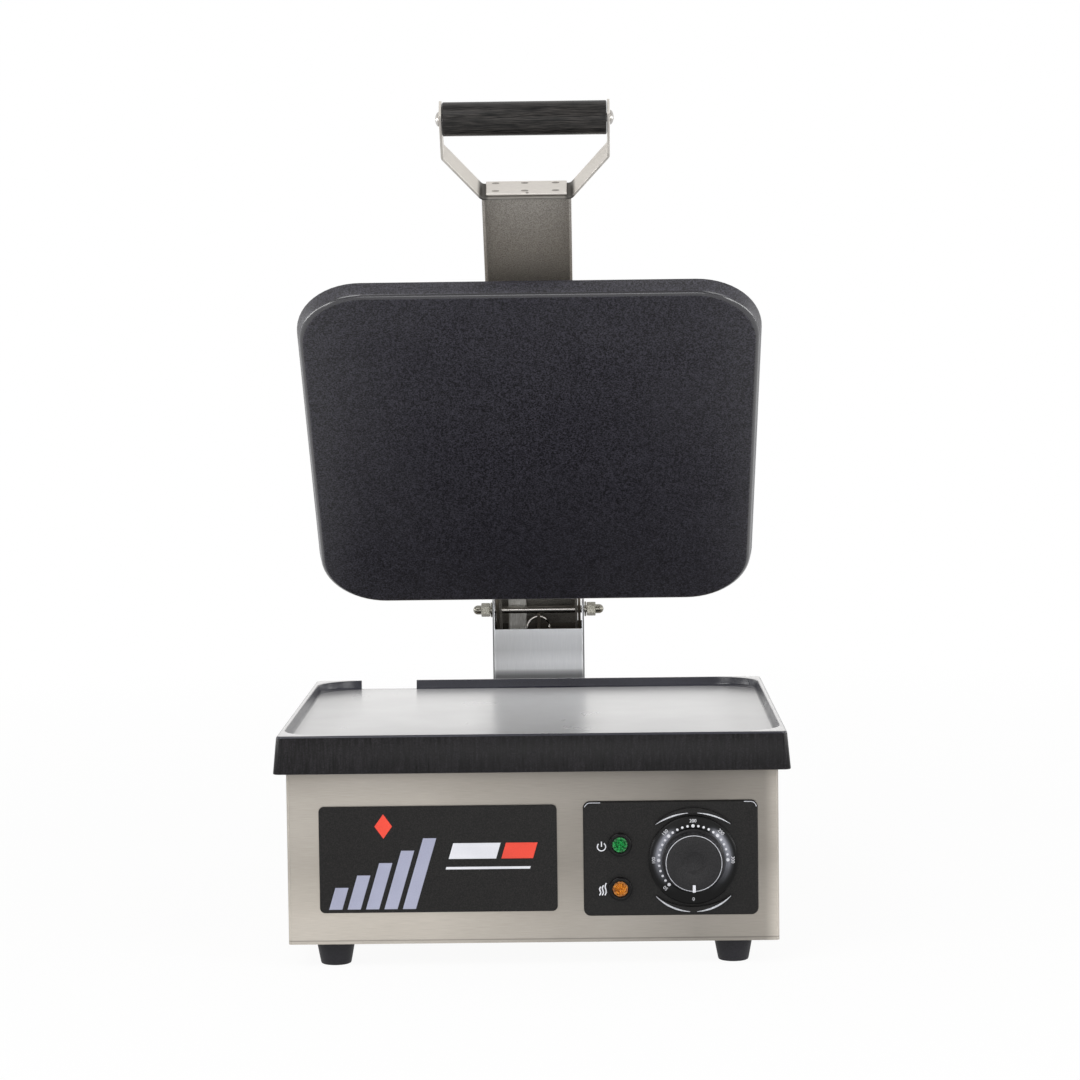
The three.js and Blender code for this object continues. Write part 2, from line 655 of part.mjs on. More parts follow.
// Lower plate
function lowerPlate() {
  const outer = extrude(roundedRect(PLATE_WIDTH, PLATE_DEPTH, PLATE_CORNER), PLATE_HEIGHT);
  const [rim, floor] = [PLATE_HEIGHT, PLATE_HEIGHT - RECESS_DEPTH];
  const [width, depth] = [PLATE_WIDTH - 2 * RIM_WIDTH, PLATE_DEPTH - 2 * RIM_WIDTH];
  const recess = extrude(roundedRect(width, depth, RECESS_RADIUS), RECESS_DEPTH + CUT);
  recess.translate(0, 0, floor);
  const [wallX, wallY] = [PLATE_WIDTH * HALF_SHARE - PLATE_WALL, PLATE_DEPTH * HALF_SHARE - PLATE_WALL];
  const underside = block([-wallX, -wallY, -CUT], [wallX, wallY, floor - PLATE_FLOOR]);
  const notchX = NOTCH_FROM_SIDE - PLATE_WIDTH * HALF_SHARE;
  const notch = block(
    [notchX - NOTCH_WIDTH * HALF_SHARE, wallY - RIM_WIDTH, floor],
    [notchX + NOTCH_WIDTH * HALF_SHARE, PLATE_DEPTH * HALF_SHARE + PLATE_FLARE + CUT, rim + CUT],
  );
  return solid(flare(outer, rim, 0, PLATE_FLARE))
    .subtract(solid(flare(recess, rim, floor, -RECESS_DRAFT)))
    .subtract(underside)
    .subtract(notch)
    .translate([0, PLATE_CENTRE_Y, PLATE_BOTTOM]);
}

// A serpentine heating tube in a plane at height z; its two ends at the back turn by drop
function heatingTube(z, drop) {
  const path = new THREE.CurvePath();
  const far = ELEMENT_RUN * HALF_SHARE - ELEMENT_SPACING * HALF_SHARE;
  const handle = ELEMENT_SPACING * HALF_SHARE * TURN_HANDLE_SHARE;
  const at = (x, y, height = z) => new THREE.Vector3(x, y, height);
  const place = (run) => (run - (ELEMENT_RUNS - 1) * HALF_SHARE) * ELEMENT_SPACING;
  const back = ELEMENT_RUN * HALF_SHARE;
  const tailEnd = back + ELEMENT_TAIL;
  const tail = [at(place(0), back), at(place(0), tailEnd), at(place(0), tailEnd, z + drop)];
  path.add(new THREE.QuadraticBezierCurve3(tail[2], tail[1], tail[0]));
  path.add(new THREE.LineCurve3(tail[0], at(place(0), -far)));
  for (let run = 1; run < ELEMENT_RUNS; run += 1) {
    const end = run % 2 === 1 ? -far : far;
    const beyond = end + Math.sign(end) * handle;
    path.add(new THREE.CubicBezierCurve3(
      at(place(run - 1), end), at(place(run - 1), beyond), at(place(run), beyond), at(place(run), end),
    ));
    const runEnd = run === ELEMENT_RUNS - 1 ? back : -end;
    path.add(new THREE.LineCurve3(at(place(run), end), at(place(run), runEnd)));
  }
  const last = tail.map((point) => new THREE.Vector3(-point.x, point.y, point.z));
  path.add(new THREE.QuadraticBezierCurve3(...last));
  return tube(path, ELEMENT_RADIUS, ELEMENT_SIDES, ELEMENT_STEPS);
}

function lowerElementLevel() {
  return PLATE_UNDERSIDE - GAP - ELEMENT_RADIUS;
}

function lowerElement() {
  return heatingTube(lowerElementLevel(), -ELEMENT_DROP).translate([0, PLATE_CENTRE_Y, 0]);
}

function clampPlate() {
  const top = lowerElementLevel() - ELEMENT_RADIUS - GAP;
  const sheet = block(
    [-CLAMP_WIDTH * HALF_SHARE, PLATE_CENTRE_Y - CLAMP_DEPTH * HALF_SHARE, top - SHEET],
    [CLAMP_WIDTH * HALF_SHARE, PLATE_CENTRE_Y + CLAMP_DEPTH * HALF_SHARE, top],
  );
  const slots = [-1, 1].map((side) => block(
    [side * ELEMENT_SPACING - CLAMP_SLOT * HALF_SHARE, PLATE_CENTRE_Y - VENT_LENGTH, top - SHEET - CUT],
    [side * ELEMENT_SPACING + CLAMP_SLOT * HALF_SHARE, PLATE_CENTRE_Y + VENT_LENGTH, top + CUT],
  ));
  return slots.reduce((body, cut) => body.subtract(cut), sheet);
}

// An open tray that hangs under the top flange of the box
function heatShield() {
  const x = BASE_WIDTH * HALF_SHARE - TOP_FLANGE + SHIELD_MARGIN;
  const [front, back] = [TOP_FLANGE - SHIELD_MARGIN, BASE_DEPTH - DECK_DEPTH + SHIELD_MARGIN];
  const top = BASE_TOP - SHEET - GAP;
  const tray = block([-x, front, top - SHIELD_HEIGHT], [x, back, top]);
  const hollow = block(
    [-x + SHEET, front + SHEET, top - SHIELD_HEIGHT + SHEET],
    [x - SHEET, back - SHEET, top + CUT],
  );
  const notch = block(
    [-CLAMP_SLOT * HALF_SHARE, front - CUT, top - SHIELD_HEIGHT - CUT],
    [SHIELD_NOTCH, front + SHIELD_NOTCH, top - SHIELD_HEIGHT + SHEET + CUT],
  );
  const tails = [-1, 1].map((side) => {
    const tailX = side * (ELEMENT_RUNS - 1) * HALF_SHARE * ELEMENT_SPACING;
    return rod('z', top - SHIELD_HEIGHT - CUT, top + CUT, ELEMENT_RADIUS * 2, [tailX, elementTailY()]);
  });
  return [hollow, notch, ...tails].reduce((body, cut) => body.subtract(cut), tray);
}

function elementTailY() {
  return PLATE_CENTRE_Y + ELEMENT_RUN * HALF_SHARE + ELEMENT_TAIL;
}

// Thermostat
function thermostatBody() {
  const back = SHEET + GAP;
  const outline = roundedRect(THERMOSTAT_WIDTH, THERMOSTAT_HEIGHT, THERMOSTAT_CORNER);
  return frontSheet(outline, back, THERMOSTAT_DEPTH)
    .translate([DIAL_X, 0, DIAL_Z])
    .subtract(rod('y', back - CUT, back + SHAFT_IN_BODY + GAP, SHAFT_RADIUS + GAP, [DIAL_X, DIAL_Z]));
}

function thermostatShaft() {
  return rod('y', KNOB_BACK - SHAFT_IN_KNOB, SHEET + GAP + SHAFT_IN_BODY, SHAFT_RADIUS, [DIAL_X, DIAL_Z]);
}

// Sensing bulb against the underside of the lower plate, with its thin tube to the thermostat
function thermostatBulb() {
  const level = PLATE_UNDERSIDE - GAP - BULB_RADIUS;
  const front = PLATE_CENTRE_Y - BULB_LENGTH * HALF_SHARE;
  const bulb = rod('y', front, front + BULB_LENGTH, BULB_RADIUS, [0, level], ELEMENT_SIDES);
  const bodyBack = SHEET + GAP + THERMOSTAT_DEPTH + GAP;
  const halfBend = CAPILLARY_BEND * HALF_SHARE;
  const route = new THREE.CatmullRomCurve3([
    new THREE.Vector3(0, front + CUT, level),
    new THREE.Vector3(0, TOP_FLANGE + CAPILLARY_BEND, level - BULB_RADIUS),
    new THREE.Vector3(halfBend, TOP_FLANGE + halfBend, BASE_TOP - halfBend),
    new THREE.Vector3(CAPILLARY_BEND, bodyBack + halfBend, DIAL_Z + halfBend),
    new THREE.Vector3(DIAL_X - CAPILLARY_BEND, bodyBack + CAPILLARY_BEND, DIAL_Z),
    new THREE.Vector3(DIAL_X, bodyBack + halfBend, DIAL_Z),
    new THREE.Vector3(DIAL_X, bodyBack, DIAL_Z),
  ], false, 'centripetal');
  return bulb.add(tube(route, CAPILLARY_RADIUS, CAPILLARY_SIDES, CAPILLARY_STEPS));
}

// Control panel
function crescent(side) {
  const end = Math.asin(CRESCENT_SPAN * HALF_SHARE / CRESCENT_RADIUS);
  const endHeight = CRESCENT_RADIUS * Math.cos(end);
  const sagitta = CRESCENT_RADIUS - CRESCENT_WIDTH - endHeight;
  const innerRadius = ((CRESCENT_SPAN * HALF_SHARE) ** 2 + sagitta ** 2) / (2 * sagitta);
  const innerEnd = Math.asin(CRESCENT_SPAN * HALF_SHARE / innerRadius);
  const innerCentre = endHeight + sagitta - innerRadius;
  const shape = new THREE.Shape();
  shape.absarc(0, 0, CRESCENT_RADIUS, Math.PI / 2 - end, Math.PI / 2 + end);
  shape.absarc(0, innerCentre, innerRadius, Math.PI / 2 + innerEnd, Math.PI / 2 - innerEnd, true);
  const raised = extrude(shape, CRESCENT_PROUD + FASCIA_THICKNESS).rotateX(Math.PI / 2);
  if (side < 0) raised.rotateY(Math.PI);
  return solid(raised.translate(DIAL_X, -GAP, DIAL_Z));
}

function controlFascia() {
  const [width, height] = [FASCIA_WIDTH - 2 * FASCIA_EDGE, FASCIA_HEIGHT - 2 * FASCIA_EDGE];
  const face = roundedRect(width, height, FASCIA_CORNER - FASCIA_EDGE);
  const edge = { bevelEnabled: true, bevelThickness: FASCIA_EDGE, bevelSize: FASCIA_EDGE, bevelSegments: 1 };
  const slab = solid(extrude(face, FASCIA_THICKNESS, edge).rotateX(Math.PI / 2)
    .translate(FASCIA_CENTRE_X, FASCIA_EDGE - GAP, FASCIA_CENTRE_Z));
  const wall = block(
    [FASCIA_CENTRE_X - FASCIA_WIDTH, -GAP, FASCIA_CENTRE_Z - FASCIA_HEIGHT],
    [FASCIA_CENTRE_X + FASCIA_WIDTH, GAP + CUT, FASCIA_CENTRE_Z + FASCIA_HEIGHT],
  );
  const holes = [
    rod('y', PANEL_FRONT - CUT, CUT, SHAFT_RADIUS + SHEET, [DIAL_X, DIAL_Z]),
    ...[LAMP_UPPER_Z, LAMP_LOWER_Z].map((z) => (
      rod('y', PANEL_FRONT - CUT, CUT, BARREL_RADIUS + GAP, [LAMP_X, z])
    )),
  ];
  const plate = slab.translate([0, FASCIA_EDGE, 0]).subtract(wall).add(crescent(1)).add(crescent(-1));
  return holes.reduce((body, cut) => body.subtract(cut), plate);
}

function dialRing() {
  return solid(laid(turned([
    [DIAL_BORE, 0],
    [DIAL_RADIUS, 0],
    [DIAL_RADIUS, DIAL_THICKNESS - DIAL_CHAMFER],
    [DIAL_RADIUS - DIAL_CHAMFER, DIAL_THICKNESS],
    [DIAL_BORE, DIAL_THICKNESS],
    [DIAL_BORE, 0],
  ], ROUND), '-y')).translate([DIAL_X, DIAL_BACK, DIAL_Z]);
}

function knob() {
  const turnedKnob = laid(turned([
    [0, 0],
    [KNOB_BASE_RADIUS, 0],
    [KNOB_BASE_RADIUS, KNOB_EDGE],
    [KNOB_FRONT_RADIUS, KNOB_EDGE * 2],
    [KNOB_FRONT_RADIUS, KNOB_HEIGHT - KNOB_EDGE],
    [KNOB_FRONT_RADIUS - KNOB_EDGE, KNOB_HEIGHT],
    [KNOB_DISH_RADIUS, KNOB_HEIGHT],
    [KNOB_DISH_RADIUS * HALF_SHARE, KNOB_HEIGHT - KNOB_DISH_DEPTH],
    [0, KNOB_HEIGHT - KNOB_DISH_DEPTH],
  ], ROUND), '-y');
  const pointer = block(
    [-POINTER_WIDTH * HALF_SHARE, -KNOB_HEIGHT - POINTER_PROUD, -KNOB_FRONT_RADIUS],
    [POINTER_WIDTH * HALF_SHARE, -KNOB_HEIGHT + KNOB_EDGE, POINTER_LENGTH - KNOB_FRONT_RADIUS],
  );
  return solid(turnedKnob)
    .add(pointer)
    .subtract(rod('y', -SHAFT_IN_KNOB - GAP, CUT, SHAFT_RADIUS + GAP, [0, 0]))
    .translate([DIAL_X, KNOB_BACK, DIAL_Z]);
}

// Pilot lamps: a bezel cup through the panel and a lens in it
function lampBezel(z) {
  const bore = LENS_RADIUS + GAP;
  const flange = PANEL_FRONT - GAP;
  const depth = BEZEL_PROUD + FASCIA_THICKNESS + BARREL_LENGTH;
  return solid(laid(turned([
    [0, 0],
    [BARREL_RADIUS, 0],
    [BARREL_RADIUS, depth - BEZEL_PROUD],
    [BEZEL_RADIUS, depth - BEZEL_PROUD],
    [BEZEL_RADIUS, depth - BEZEL_EDGE],
    [BEZEL_RADIUS - BEZEL_EDGE, depth],
    [bore, depth],
    [bore, depth - LENS_LENGTH - GAP],
    [0, depth - LENS_LENGTH - GAP],
  ]), '-y')).translate([LAMP_X, flange - BEZEL_PROUD + depth, z]);
}

function lampLens(z) {
  return solid(laid(turned([
    [0, 0],
    [LENS_RADIUS, 0],
    [LENS_RADIUS, LENS_LENGTH - LENS_DOME],
    [LENS_RADIUS * HALF_SHARE, LENS_LENGTH - LENS_DOME * HALF_SHARE],
    [0, LENS_LENGTH],
  ]), '-y')).translate([LAMP_X, PANEL_FRONT - GAP - BEZEL_PROUD + LENS_LENGTH, z]);
}

function badgePlate() {
  const outline = roundedRect(BADGE_WIDTH, BADGE_HEIGHT, BADGE_CORNER);
  return frontSheet(outline, -GAP - BADGE_THICKNESS, BADGE_THICKNESS)
    .translate([BADGE_CENTRE_X, 0, BADGE_CENTRE_Z]);
}

// Mains inlet
function cableGland() {
  const [flange, end] = [GLAND_FLANGE_LENGTH, GLAND_FLANGE_LENGTH + GLAND_DOME_LENGTH];
  return solid(laid(turned([
    [GLAND_BORE, -GLAND_TAIL],
    [GLAND_THREAD_RADIUS, -GLAND_TAIL],
    [GLAND_THREAD_RADIUS, 0],
    [GLAND_FLANGE_RADIUS, 0],
    [GLAND_FLANGE_RADIUS, flange],
    [GLAND_DOME_RADIUS, flange],
    [GLAND_DOME_RADIUS, end - GLAND_BORE],
    [GLAND_THREAD_RADIUS, end],
    [GLAND_BORE, end],
    [GLAND_BORE, -GLAND_TAIL],
  ]), '+y')).translate([GLAND_X, BASE_DEPTH + GAP, GLAND_Z]);
}

function glandLockNut() {
  const front = BASE_DEPTH - SHEET - GAP - LOCK_NUT_THICKNESS;
  return frontSheet(hexagon(LOCK_NUT_RADIUS), front, LOCK_NUT_THICKNESS)
    .translate([GLAND_X, 0, GLAND_Z])
    .subtract(rod('y', front - CUT, BASE_DEPTH, GLAND_THREAD_RADIUS + GAP, [GLAND_X, GLAND_Z]));
}

function terminalBlock() {
  const [x, y] = [TERMINAL_LENGTH * HALF_SHARE, TERMINAL_WIDTH * HALF_SHARE];
  const [bottom, top] = [FLOOR_TOP + GAP, FLOOR_TOP + GAP + TERMINAL_HEIGHT];
  const body = block([TERMINAL_X - x, TERMINAL_Y - y, bottom], [TERMINAL_X + x, TERMINAL_Y + y, top]);
  const pitch = TERMINAL_LENGTH / TERMINAL_POLES;
  const bores = Array.from({ length: TERMINAL_POLES }, (_, i) => {
    const at = TERMINAL_X + (i - (TERMINAL_POLES - 1) * HALF_SHARE) * pitch;
    const middle = [at, (bottom + top) * HALF_SHARE];
    return rod('y', TERMINAL_Y - y - CUT, TERMINAL_Y + y + CUT, TERMINAL_BORE, middle, ELEMENT_SIDES);
  });
  return bores.reduce((whole, bore) => whole.subtract(bore), body);
}

function earthStud() {
  const bottom = FLOOR_TOP + GAP;
  const nut = solid(extrude(hexagon(EARTH_NUT_RADIUS), EARTH_NUT_HEIGHT))
    .translate([EARTH_X, EARTH_Y, bottom]);
  return nut.add(rod('z', bottom, bottom + EARTH_LENGTH, EARTH_RADIUS, [EARTH_X, EARTH_Y]));
}

// Hinge post
function hingePost() {
  const [outer, inner] = [POST_WIDTH * HALF_SHARE, POST_WIDTH * HALF_SHARE - POST_SHEET];
  const back = POST_FRONT + POST_DEPTH;
  const [webTop, top] = [AXLE_Z - POST_WEB_BELOW_AXLE, AXLE_Z + POST_CHEEK_ABOVE_AXLE];
  const cheek = new THREE.Shape();
  cheek.moveTo(POST_FRONT, POST_BASE);
  cheek.lineTo(back, POST_BASE);
  cheek.absarc(back - POST_TOP_RADIUS, top - POST_TOP_RADIUS, POST_TOP_RADIUS, 0, Math.PI / 2);
  cheek.absarc(POST_FRONT + POST_TOP_RADIUS, top - POST_TOP_RADIUS, POST_TOP_RADIUS, Math.PI / 2, Math.PI);
  const rear = back - POST_SHEET;
  const hollow = block([-inner, POST_FRONT + POST_SHEET, POST_BASE - CUT], [inner, rear, top + CUT]);
  const window = block([-inner, POST_FRONT - CUT, webTop], [inner, POST_FRONT + POST_SHEET + CUT, top + CUT]);
  const rearTop = AXLE_Z - POST_REAR_BELOW_AXLE;
  const rearWindow = block([-inner, rear - CUT, rearTop], [inner, back + CUT, top + CUT]);
  const flanges = [-1, 1].map((side) => block(
    [side > 0 ? outer - POST_SHEET : -outer - POST_FLANGE, POST_FRONT + POST_SHEET, POST_BASE],
    [side > 0 ? outer + POST_FLANGE : -outer + POST_SHEET, back, POST_BASE + POST_SHEET],
  ));
  const axleHole = rod('x', -outer - CUT, outer + CUT, AXLE_RADIUS + GAP, [AXLE_Y, AXLE_Z]);
  const stopHole = rod('x', -outer - CUT, outer + CUT, STOP_PIN_RADIUS + GAP, stopPinPlace());
  const boltHoles = postBoltPlaces().map((at) => (
    rod('z', POST_BASE - CUT, POST_BASE + POST_SHEET + CUT, POST_BOLT_RADIUS + GAP, at)
  ));
  const frame = sideSheet(cheek, -outer, outer)
    .subtract(hollow)
    .subtract(window)
    .subtract(rearWindow)
    .add(flanges[0])
    .add(flanges[1]);
  return [axleHole, stopHole, ...boltHoles].reduce((body, cut) => body.subtract(cut), frame);
}

function stopPinPlace() {
  return [AXLE_Y - STOP_PIN_FORWARD, AXLE_Z - STOP_PIN_BELOW];
}

function postBoltPlaces() {
  const x = POST_WIDTH * HALF_SHARE + POST_FLANGE * HALF_SHARE;
  const [near, far] = [POST_FRONT + POST_BOLT_INSET, POST_FRONT + POST_DEPTH - POST_BOLT_INSET];
  return [[-x, near], [x, near], [-x, far], [x, far]];
}

function addPostBolts(group) {
  const names = ['front_left', 'front_right', 'rear_left', 'rear_right'];
  postBoltPlaces().forEach(([x, y], i) => {
    const head = [POST_BOLT_HEAD_RADIUS, POST_BOLT_HEAD_HEIGHT];
    const shape = screw(...head, POST_BOLT_RADIUS, POST_BOLT_LENGTH).rotateX(Math.PI);
    const bolt = part(`post_bolt_${names[i]}`, solid(shape), brightSteel());
    bolt.position.set(x, y, POST_BASE + POST_SHEET + GAP);
    group.add(bolt);
  });
}

// Axle with a washer and a domed nut at each end
function axleEnd() {
  const washer = POST_WIDTH * HALF_SHARE + GAP;
  const nut = washer + WASHER_THICKNESS + GAP;
  return { washer, nut, tip: nut + CAP_BORE_DEPTH - GAP };
}

function capNut() {
  const corner = NUT_FLATS * HALF_SHARE / Math.cos(Math.PI / 6);
  const hex = solid(extrude(hexagon(corner), NUT_HEIGHT));
  const cap = solid(turned([
    [0, 0],
    [CAP_RADIUS, 0],
    [CAP_RADIUS, NUT_HEIGHT + CAP_LENGTH - CAP_RADIUS * HALF_SHARE],
    [CAP_RADIUS * HALF_SHARE * Math.sqrt(3), NUT_HEIGHT + CAP_LENGTH - CAP_RADIUS * HALF_SHARE * HALF_SHARE],
    [CAP_RADIUS * HALF_SHARE, NUT_HEIGHT + CAP_LENGTH],
    [0, NUT_HEIGHT + CAP_LENGTH],
  ]));
  return hex.add(cap).subtract(rod('z', -CUT, CAP_BORE_DEPTH, AXLE_RADIUS + GAP, [0, 0]));
}

function addAxle(group) {
  const end = axleEnd();
  group.add(part('axle_rod', rod('x', -end.tip, end.tip, AXLE_RADIUS, [AXLE_Y, AXLE_Z]), brightSteel()));
  [['left', -1], ['right', 1]].forEach(([name, side]) => {
    const ring = rod('z', 0, WASHER_THICKNESS, WASHER_RADIUS, [0, 0])
      .subtract(rod('z', -CUT, WASHER_THICKNESS + CUT, AXLE_RADIUS + GAP, [0, 0]));
    const washer = part(`axle_washer_${name}`, ring, brightSteel());
    const nut = part(`axle_nut_${name}`, capNut(), brightSteel());
    washer.position.set(side * end.washer, AXLE_Y, AXLE_Z);
    nut.position.set(side * end.nut, AXLE_Y, AXLE_Z);
    washer.rotation.y = side * Math.PI / 2;
    nut.rotation.y = side * Math.PI / 2;
    group.add(washer, nut);
  });
}

function stopPin() {
  const half = POST_WIDTH * HALF_SHARE;
  return rod('x', -half, half, STOP_PIN_RADIUS, stopPinPlace());
}

// Counterbalance spring: a helix with an open loop at each end, both in the plane across the axle
function springPoints() {
  const pitch = (SPRING_TOP - SPRING_BOTTOM) / SPRING_CURLS;
  const hook = (end, way) => {
    const points = [];
    for (let degrees = HOOK_STEP_DEGREES; degrees <= HOOK_SWING_DEGREES; degrees += HOOK_STEP_DEGREES) {
      const turn = THREE.MathUtils.degToRad(degrees);
      const share = Math.min(1, degrees / HOOK_TURN_DEGREES);
      const tilt = share * Math.PI / 2;
      points.push(new THREE.Vector3(
        SPRING_RADIUS * Math.cos(turn),
        way * SPRING_RADIUS * Math.sin(turn) * Math.cos(tilt),
        end + way * (SPRING_RADIUS * Math.sin(turn) * Math.sin(tilt) + SPRING_RISE * share),
      ));
    }
    const last = points[points.length - 1];
    const onward = last.clone().sub(points[points.length - 2]).normalize();
    points.push(last.clone().addScaledVector(onward, SPRING_WIRE * 2));
    return points;
  };
  const coil = [];
  for (let step = 0; step <= SPRING_CURLS * SPRING_STEPS_PER_CURL; step += 1) {
    const turn = step / SPRING_STEPS_PER_CURL;
    coil.push(new THREE.Vector3(
      SPRING_RADIUS * Math.cos(turn * Math.PI * 2),
      SPRING_RADIUS * Math.sin(turn * Math.PI * 2),
      SPRING_BOTTOM + turn * pitch,
    ));
  }
  return [...hook(SPRING_BOTTOM, -1).reverse(), ...coil, ...hook(SPRING_TOP, 1)];
}

// The least clear distance between stretches of the wire that lie half a curl or more apart
function leastGap(points, wire) {
  let least = Infinity;
  const apart = SPRING_STEPS_PER_CURL * HALF_SHARE;
  for (let i = 0; i < points.length; i += 1) {
    for (let j = i + apart; j < points.length; j += 1) {
      least = Math.min(least, points[i].distanceTo(points[j]));
    }
  }
  return least - 2 * wire;
}

// A round wire through a list of points
function wireThrough(points, radius, sides) {
  const positions = [];
  const index = [];
  const tangents = points.map((point, i) => points[Math.min(i + 1, points.length - 1)].clone()
    .sub(points[Math.max(i - 1, 0)]).normalize());
  let normal = new THREE.Vector3(0, 0, 1).cross(tangents[0]).normalize();
  points.forEach((point, i) => {
    normal = normal.clone().addScaledVector(tangents[i], -normal.dot(tangents[i])).normalize();
    const across = tangents[i].clone().cross(normal);
    for (let k = 0; k < sides; k += 1) {
      const turn = k / sides * Math.PI * 2;
      const rim = point.clone()
        .addScaledVector(normal, radius * Math.cos(turn))
        .addScaledVector(across, radius * Math.sin(turn));
      positions.push(rim.x, rim.y, rim.z);
    }
  });
  const last = (points.length - 1) * sides;
  for (let ring = 0; ring < last; ring += sides) {
    for (let k = 0; k < sides; k += 1) {
      const next = (k + 1) % sides;
      index.push(ring + k, ring + next, ring + sides + next, ring + k, ring + sides + next, ring + sides + k);
    }
  }
  for (let k = 1; k < sides - 1; k += 1) index.push(0, k + 1, k, last, last + k, last + k + 1);
  const geometry = new THREE.BufferGeometry();
  geometry.setAttribute('position', new THREE.Float32BufferAttribute(positions, 3));
  geometry.setIndex(index);
  geometry.computeVertexNormals();
  return geometry;
}

function counterbalanceSpring() {
  const points = springPoints();
  const gap = leastGap(points, SPRING_WIRE);
  console.log(`Least gap of the spring to itself: ${gap.toFixed(2)} mm, wanted over ${SPRING_LEAST_GAP} mm`);
  return wireThrough(points, SPRING_WIRE, SPRING_SIDES).translate(0, SPRING_Y, 0);
}

// Lower anchor of the spring: a foot on the base floor and an upright with a hole for the loop
function springAnchor() {
  const hole = SPRING_BOTTOM - SPRING_RISE - SPRING_RADIUS;
  const [near, far] = [SPRING_Y - ANCHOR_WIDTH * HALF_SHARE, SPRING_Y + ANCHOR_WIDTH * HALF_SHARE];
  const [half, bottom] = [HOOK_SHEET * HALF_SHARE, FLOOR_TOP + GAP];
  return block([-half, near, bottom], [half, far, hole + ANCHOR_MARGIN])
    .add(block([-half, near, bottom], [ANCHOR_FOOT, far, bottom + HOOK_SHEET]))
    .subtract(rod('x', -CUT, CUT, HOOK_HOLE_RADIUS, [SPRING_Y, hole]));
}

// Flat sleeve from the post down to the floor and forward to the terminals
function sleeveLower() {
  const level = FLOOR_TOP + GAP + SLEEVE_THICKNESS * HALF_SHARE;
  const route = [
    [SLEEVE_LOWER_Y, SLEEVE_LOWER_TOP],
    [SLEEVE_LOWER_Y, level],
    [TERMINAL_Y + TERMINAL_WIDTH * HALF_SHARE + GAP, level],
  ];
  const from = SLEEVE_LOWER_X - SLEEVE_WIDTH * HALF_SHARE;
  return sideSheet(bentStrip(route, SLEEVE_THICKNESS, SLEEVE_THICKNESS), from, from + SLEEVE_WIDTH);
}

// Lid pieces. Their group stands on the axle: minus y runs along the arm to the handle,
// and z away from the plates
function armChannel() {
  const [outer, inner] = [ARM_WIDTH * HALF_SHARE, ARM_WIDTH * HALF_SHARE - ARM_SHEET];
  const section = new THREE.Shape();
  section.moveTo(-outer, ARM_LOW);
  section.lineTo(-inner, ARM_LOW);
  section.lineTo(-inner, ARM_HIGH - ARM_SHEET);
  section.lineTo(inner, ARM_HIGH - ARM_SHEET);
  section.lineTo(inner, ARM_LOW);
  section.lineTo(outer, ARM_LOW);
  section.absarc(outer - ARM_BEND, ARM_HIGH - ARM_BEND, ARM_BEND, 0, Math.PI / 2);
  section.absarc(-outer + ARM_BEND, ARM_HIGH - ARM_BEND, ARM_BEND, Math.PI / 2, Math.PI);
  return frontSheet(section, -ARM_LENGTH, ARM_LENGTH + ARM_TAIL, { curveSegments: 3 })
    .subtract(rod('x', -outer - CUT, outer + CUT, AXLE_RADIUS + GAP, [0, 0]))
    .subtract(rod('x', -outer - CUT, outer + CUT, FLOAT_PIN_RADIUS + GAP, [-PLATE_REACH, FLOAT_RAISE]));
}

function hingeSidePlate(side) {
  const height = SIDE_PLATE_HIGH - SIDE_PLATE_LOW;
  const shape = roundedRect(SIDE_PLATE_REACH + ARM_TAIL, height, SIDE_PLATE_CORNER);
  const near = ARM_WIDTH * HALF_SHARE + GAP;
  const from = side > 0 ? near : -near - SIDE_PLATE_SHEET;
  return sideSheet(shape, from, from + SIDE_PLATE_SHEET)
    .translate([
      0,
      (ARM_TAIL - SIDE_PLATE_REACH) * HALF_SHARE,
      (SIDE_PLATE_HIGH + SIDE_PLATE_LOW) * HALF_SHARE,
    ])
    .subtract(rod('x', from - CUT, from + SIDE_PLATE_SHEET + CUT, AXLE_RADIUS + GAP, [0, 0]));
}

function springHook() {
  const half = HOOK_SHEET * HALF_SHARE;
  const [near, far] = [-HOOK_HOLE_REACH - HOOK_BEFORE_HOLE, HOOK_BEHIND_HOLE - HOOK_HOLE_REACH];
  return block([-half, near, HOOK_HOLE_RAISE - HOOK_BELOW_HOLE], [half, far, ARM_HIGH - ARM_SHEET - GAP])
    .subtract(rod('x', -CUT, CUT, HOOK_HOLE_RADIUS, [-HOOK_HOLE_REACH, HOOK_HOLE_RAISE]));
}

function sleeveUpper() {
  const level = ARM_HIGH - ARM_SHEET - GAP * 2 - SLEEVE_THICKNESS * HALF_SHARE;
  const route = [
    [ARM_TAIL - CUT, level],
    [-SLEEVE_ENTRY + SLEEVE_BEND, level],
    [-SLEEVE_ENTRY, level - SLEEVE_BEND],
    [-SLEEVE_ENTRY, COVER_TOP_LEVEL - SLEEVE_BEND],
  ];
  const from = SLEEVE_X - SLEEVE_WIDTH * HALF_SHARE;
  return sideSheet(bentStrip(route, SLEEVE_THICKNESS, SLEEVE_THICKNESS), from, from + SLEEVE_WIDTH);
}

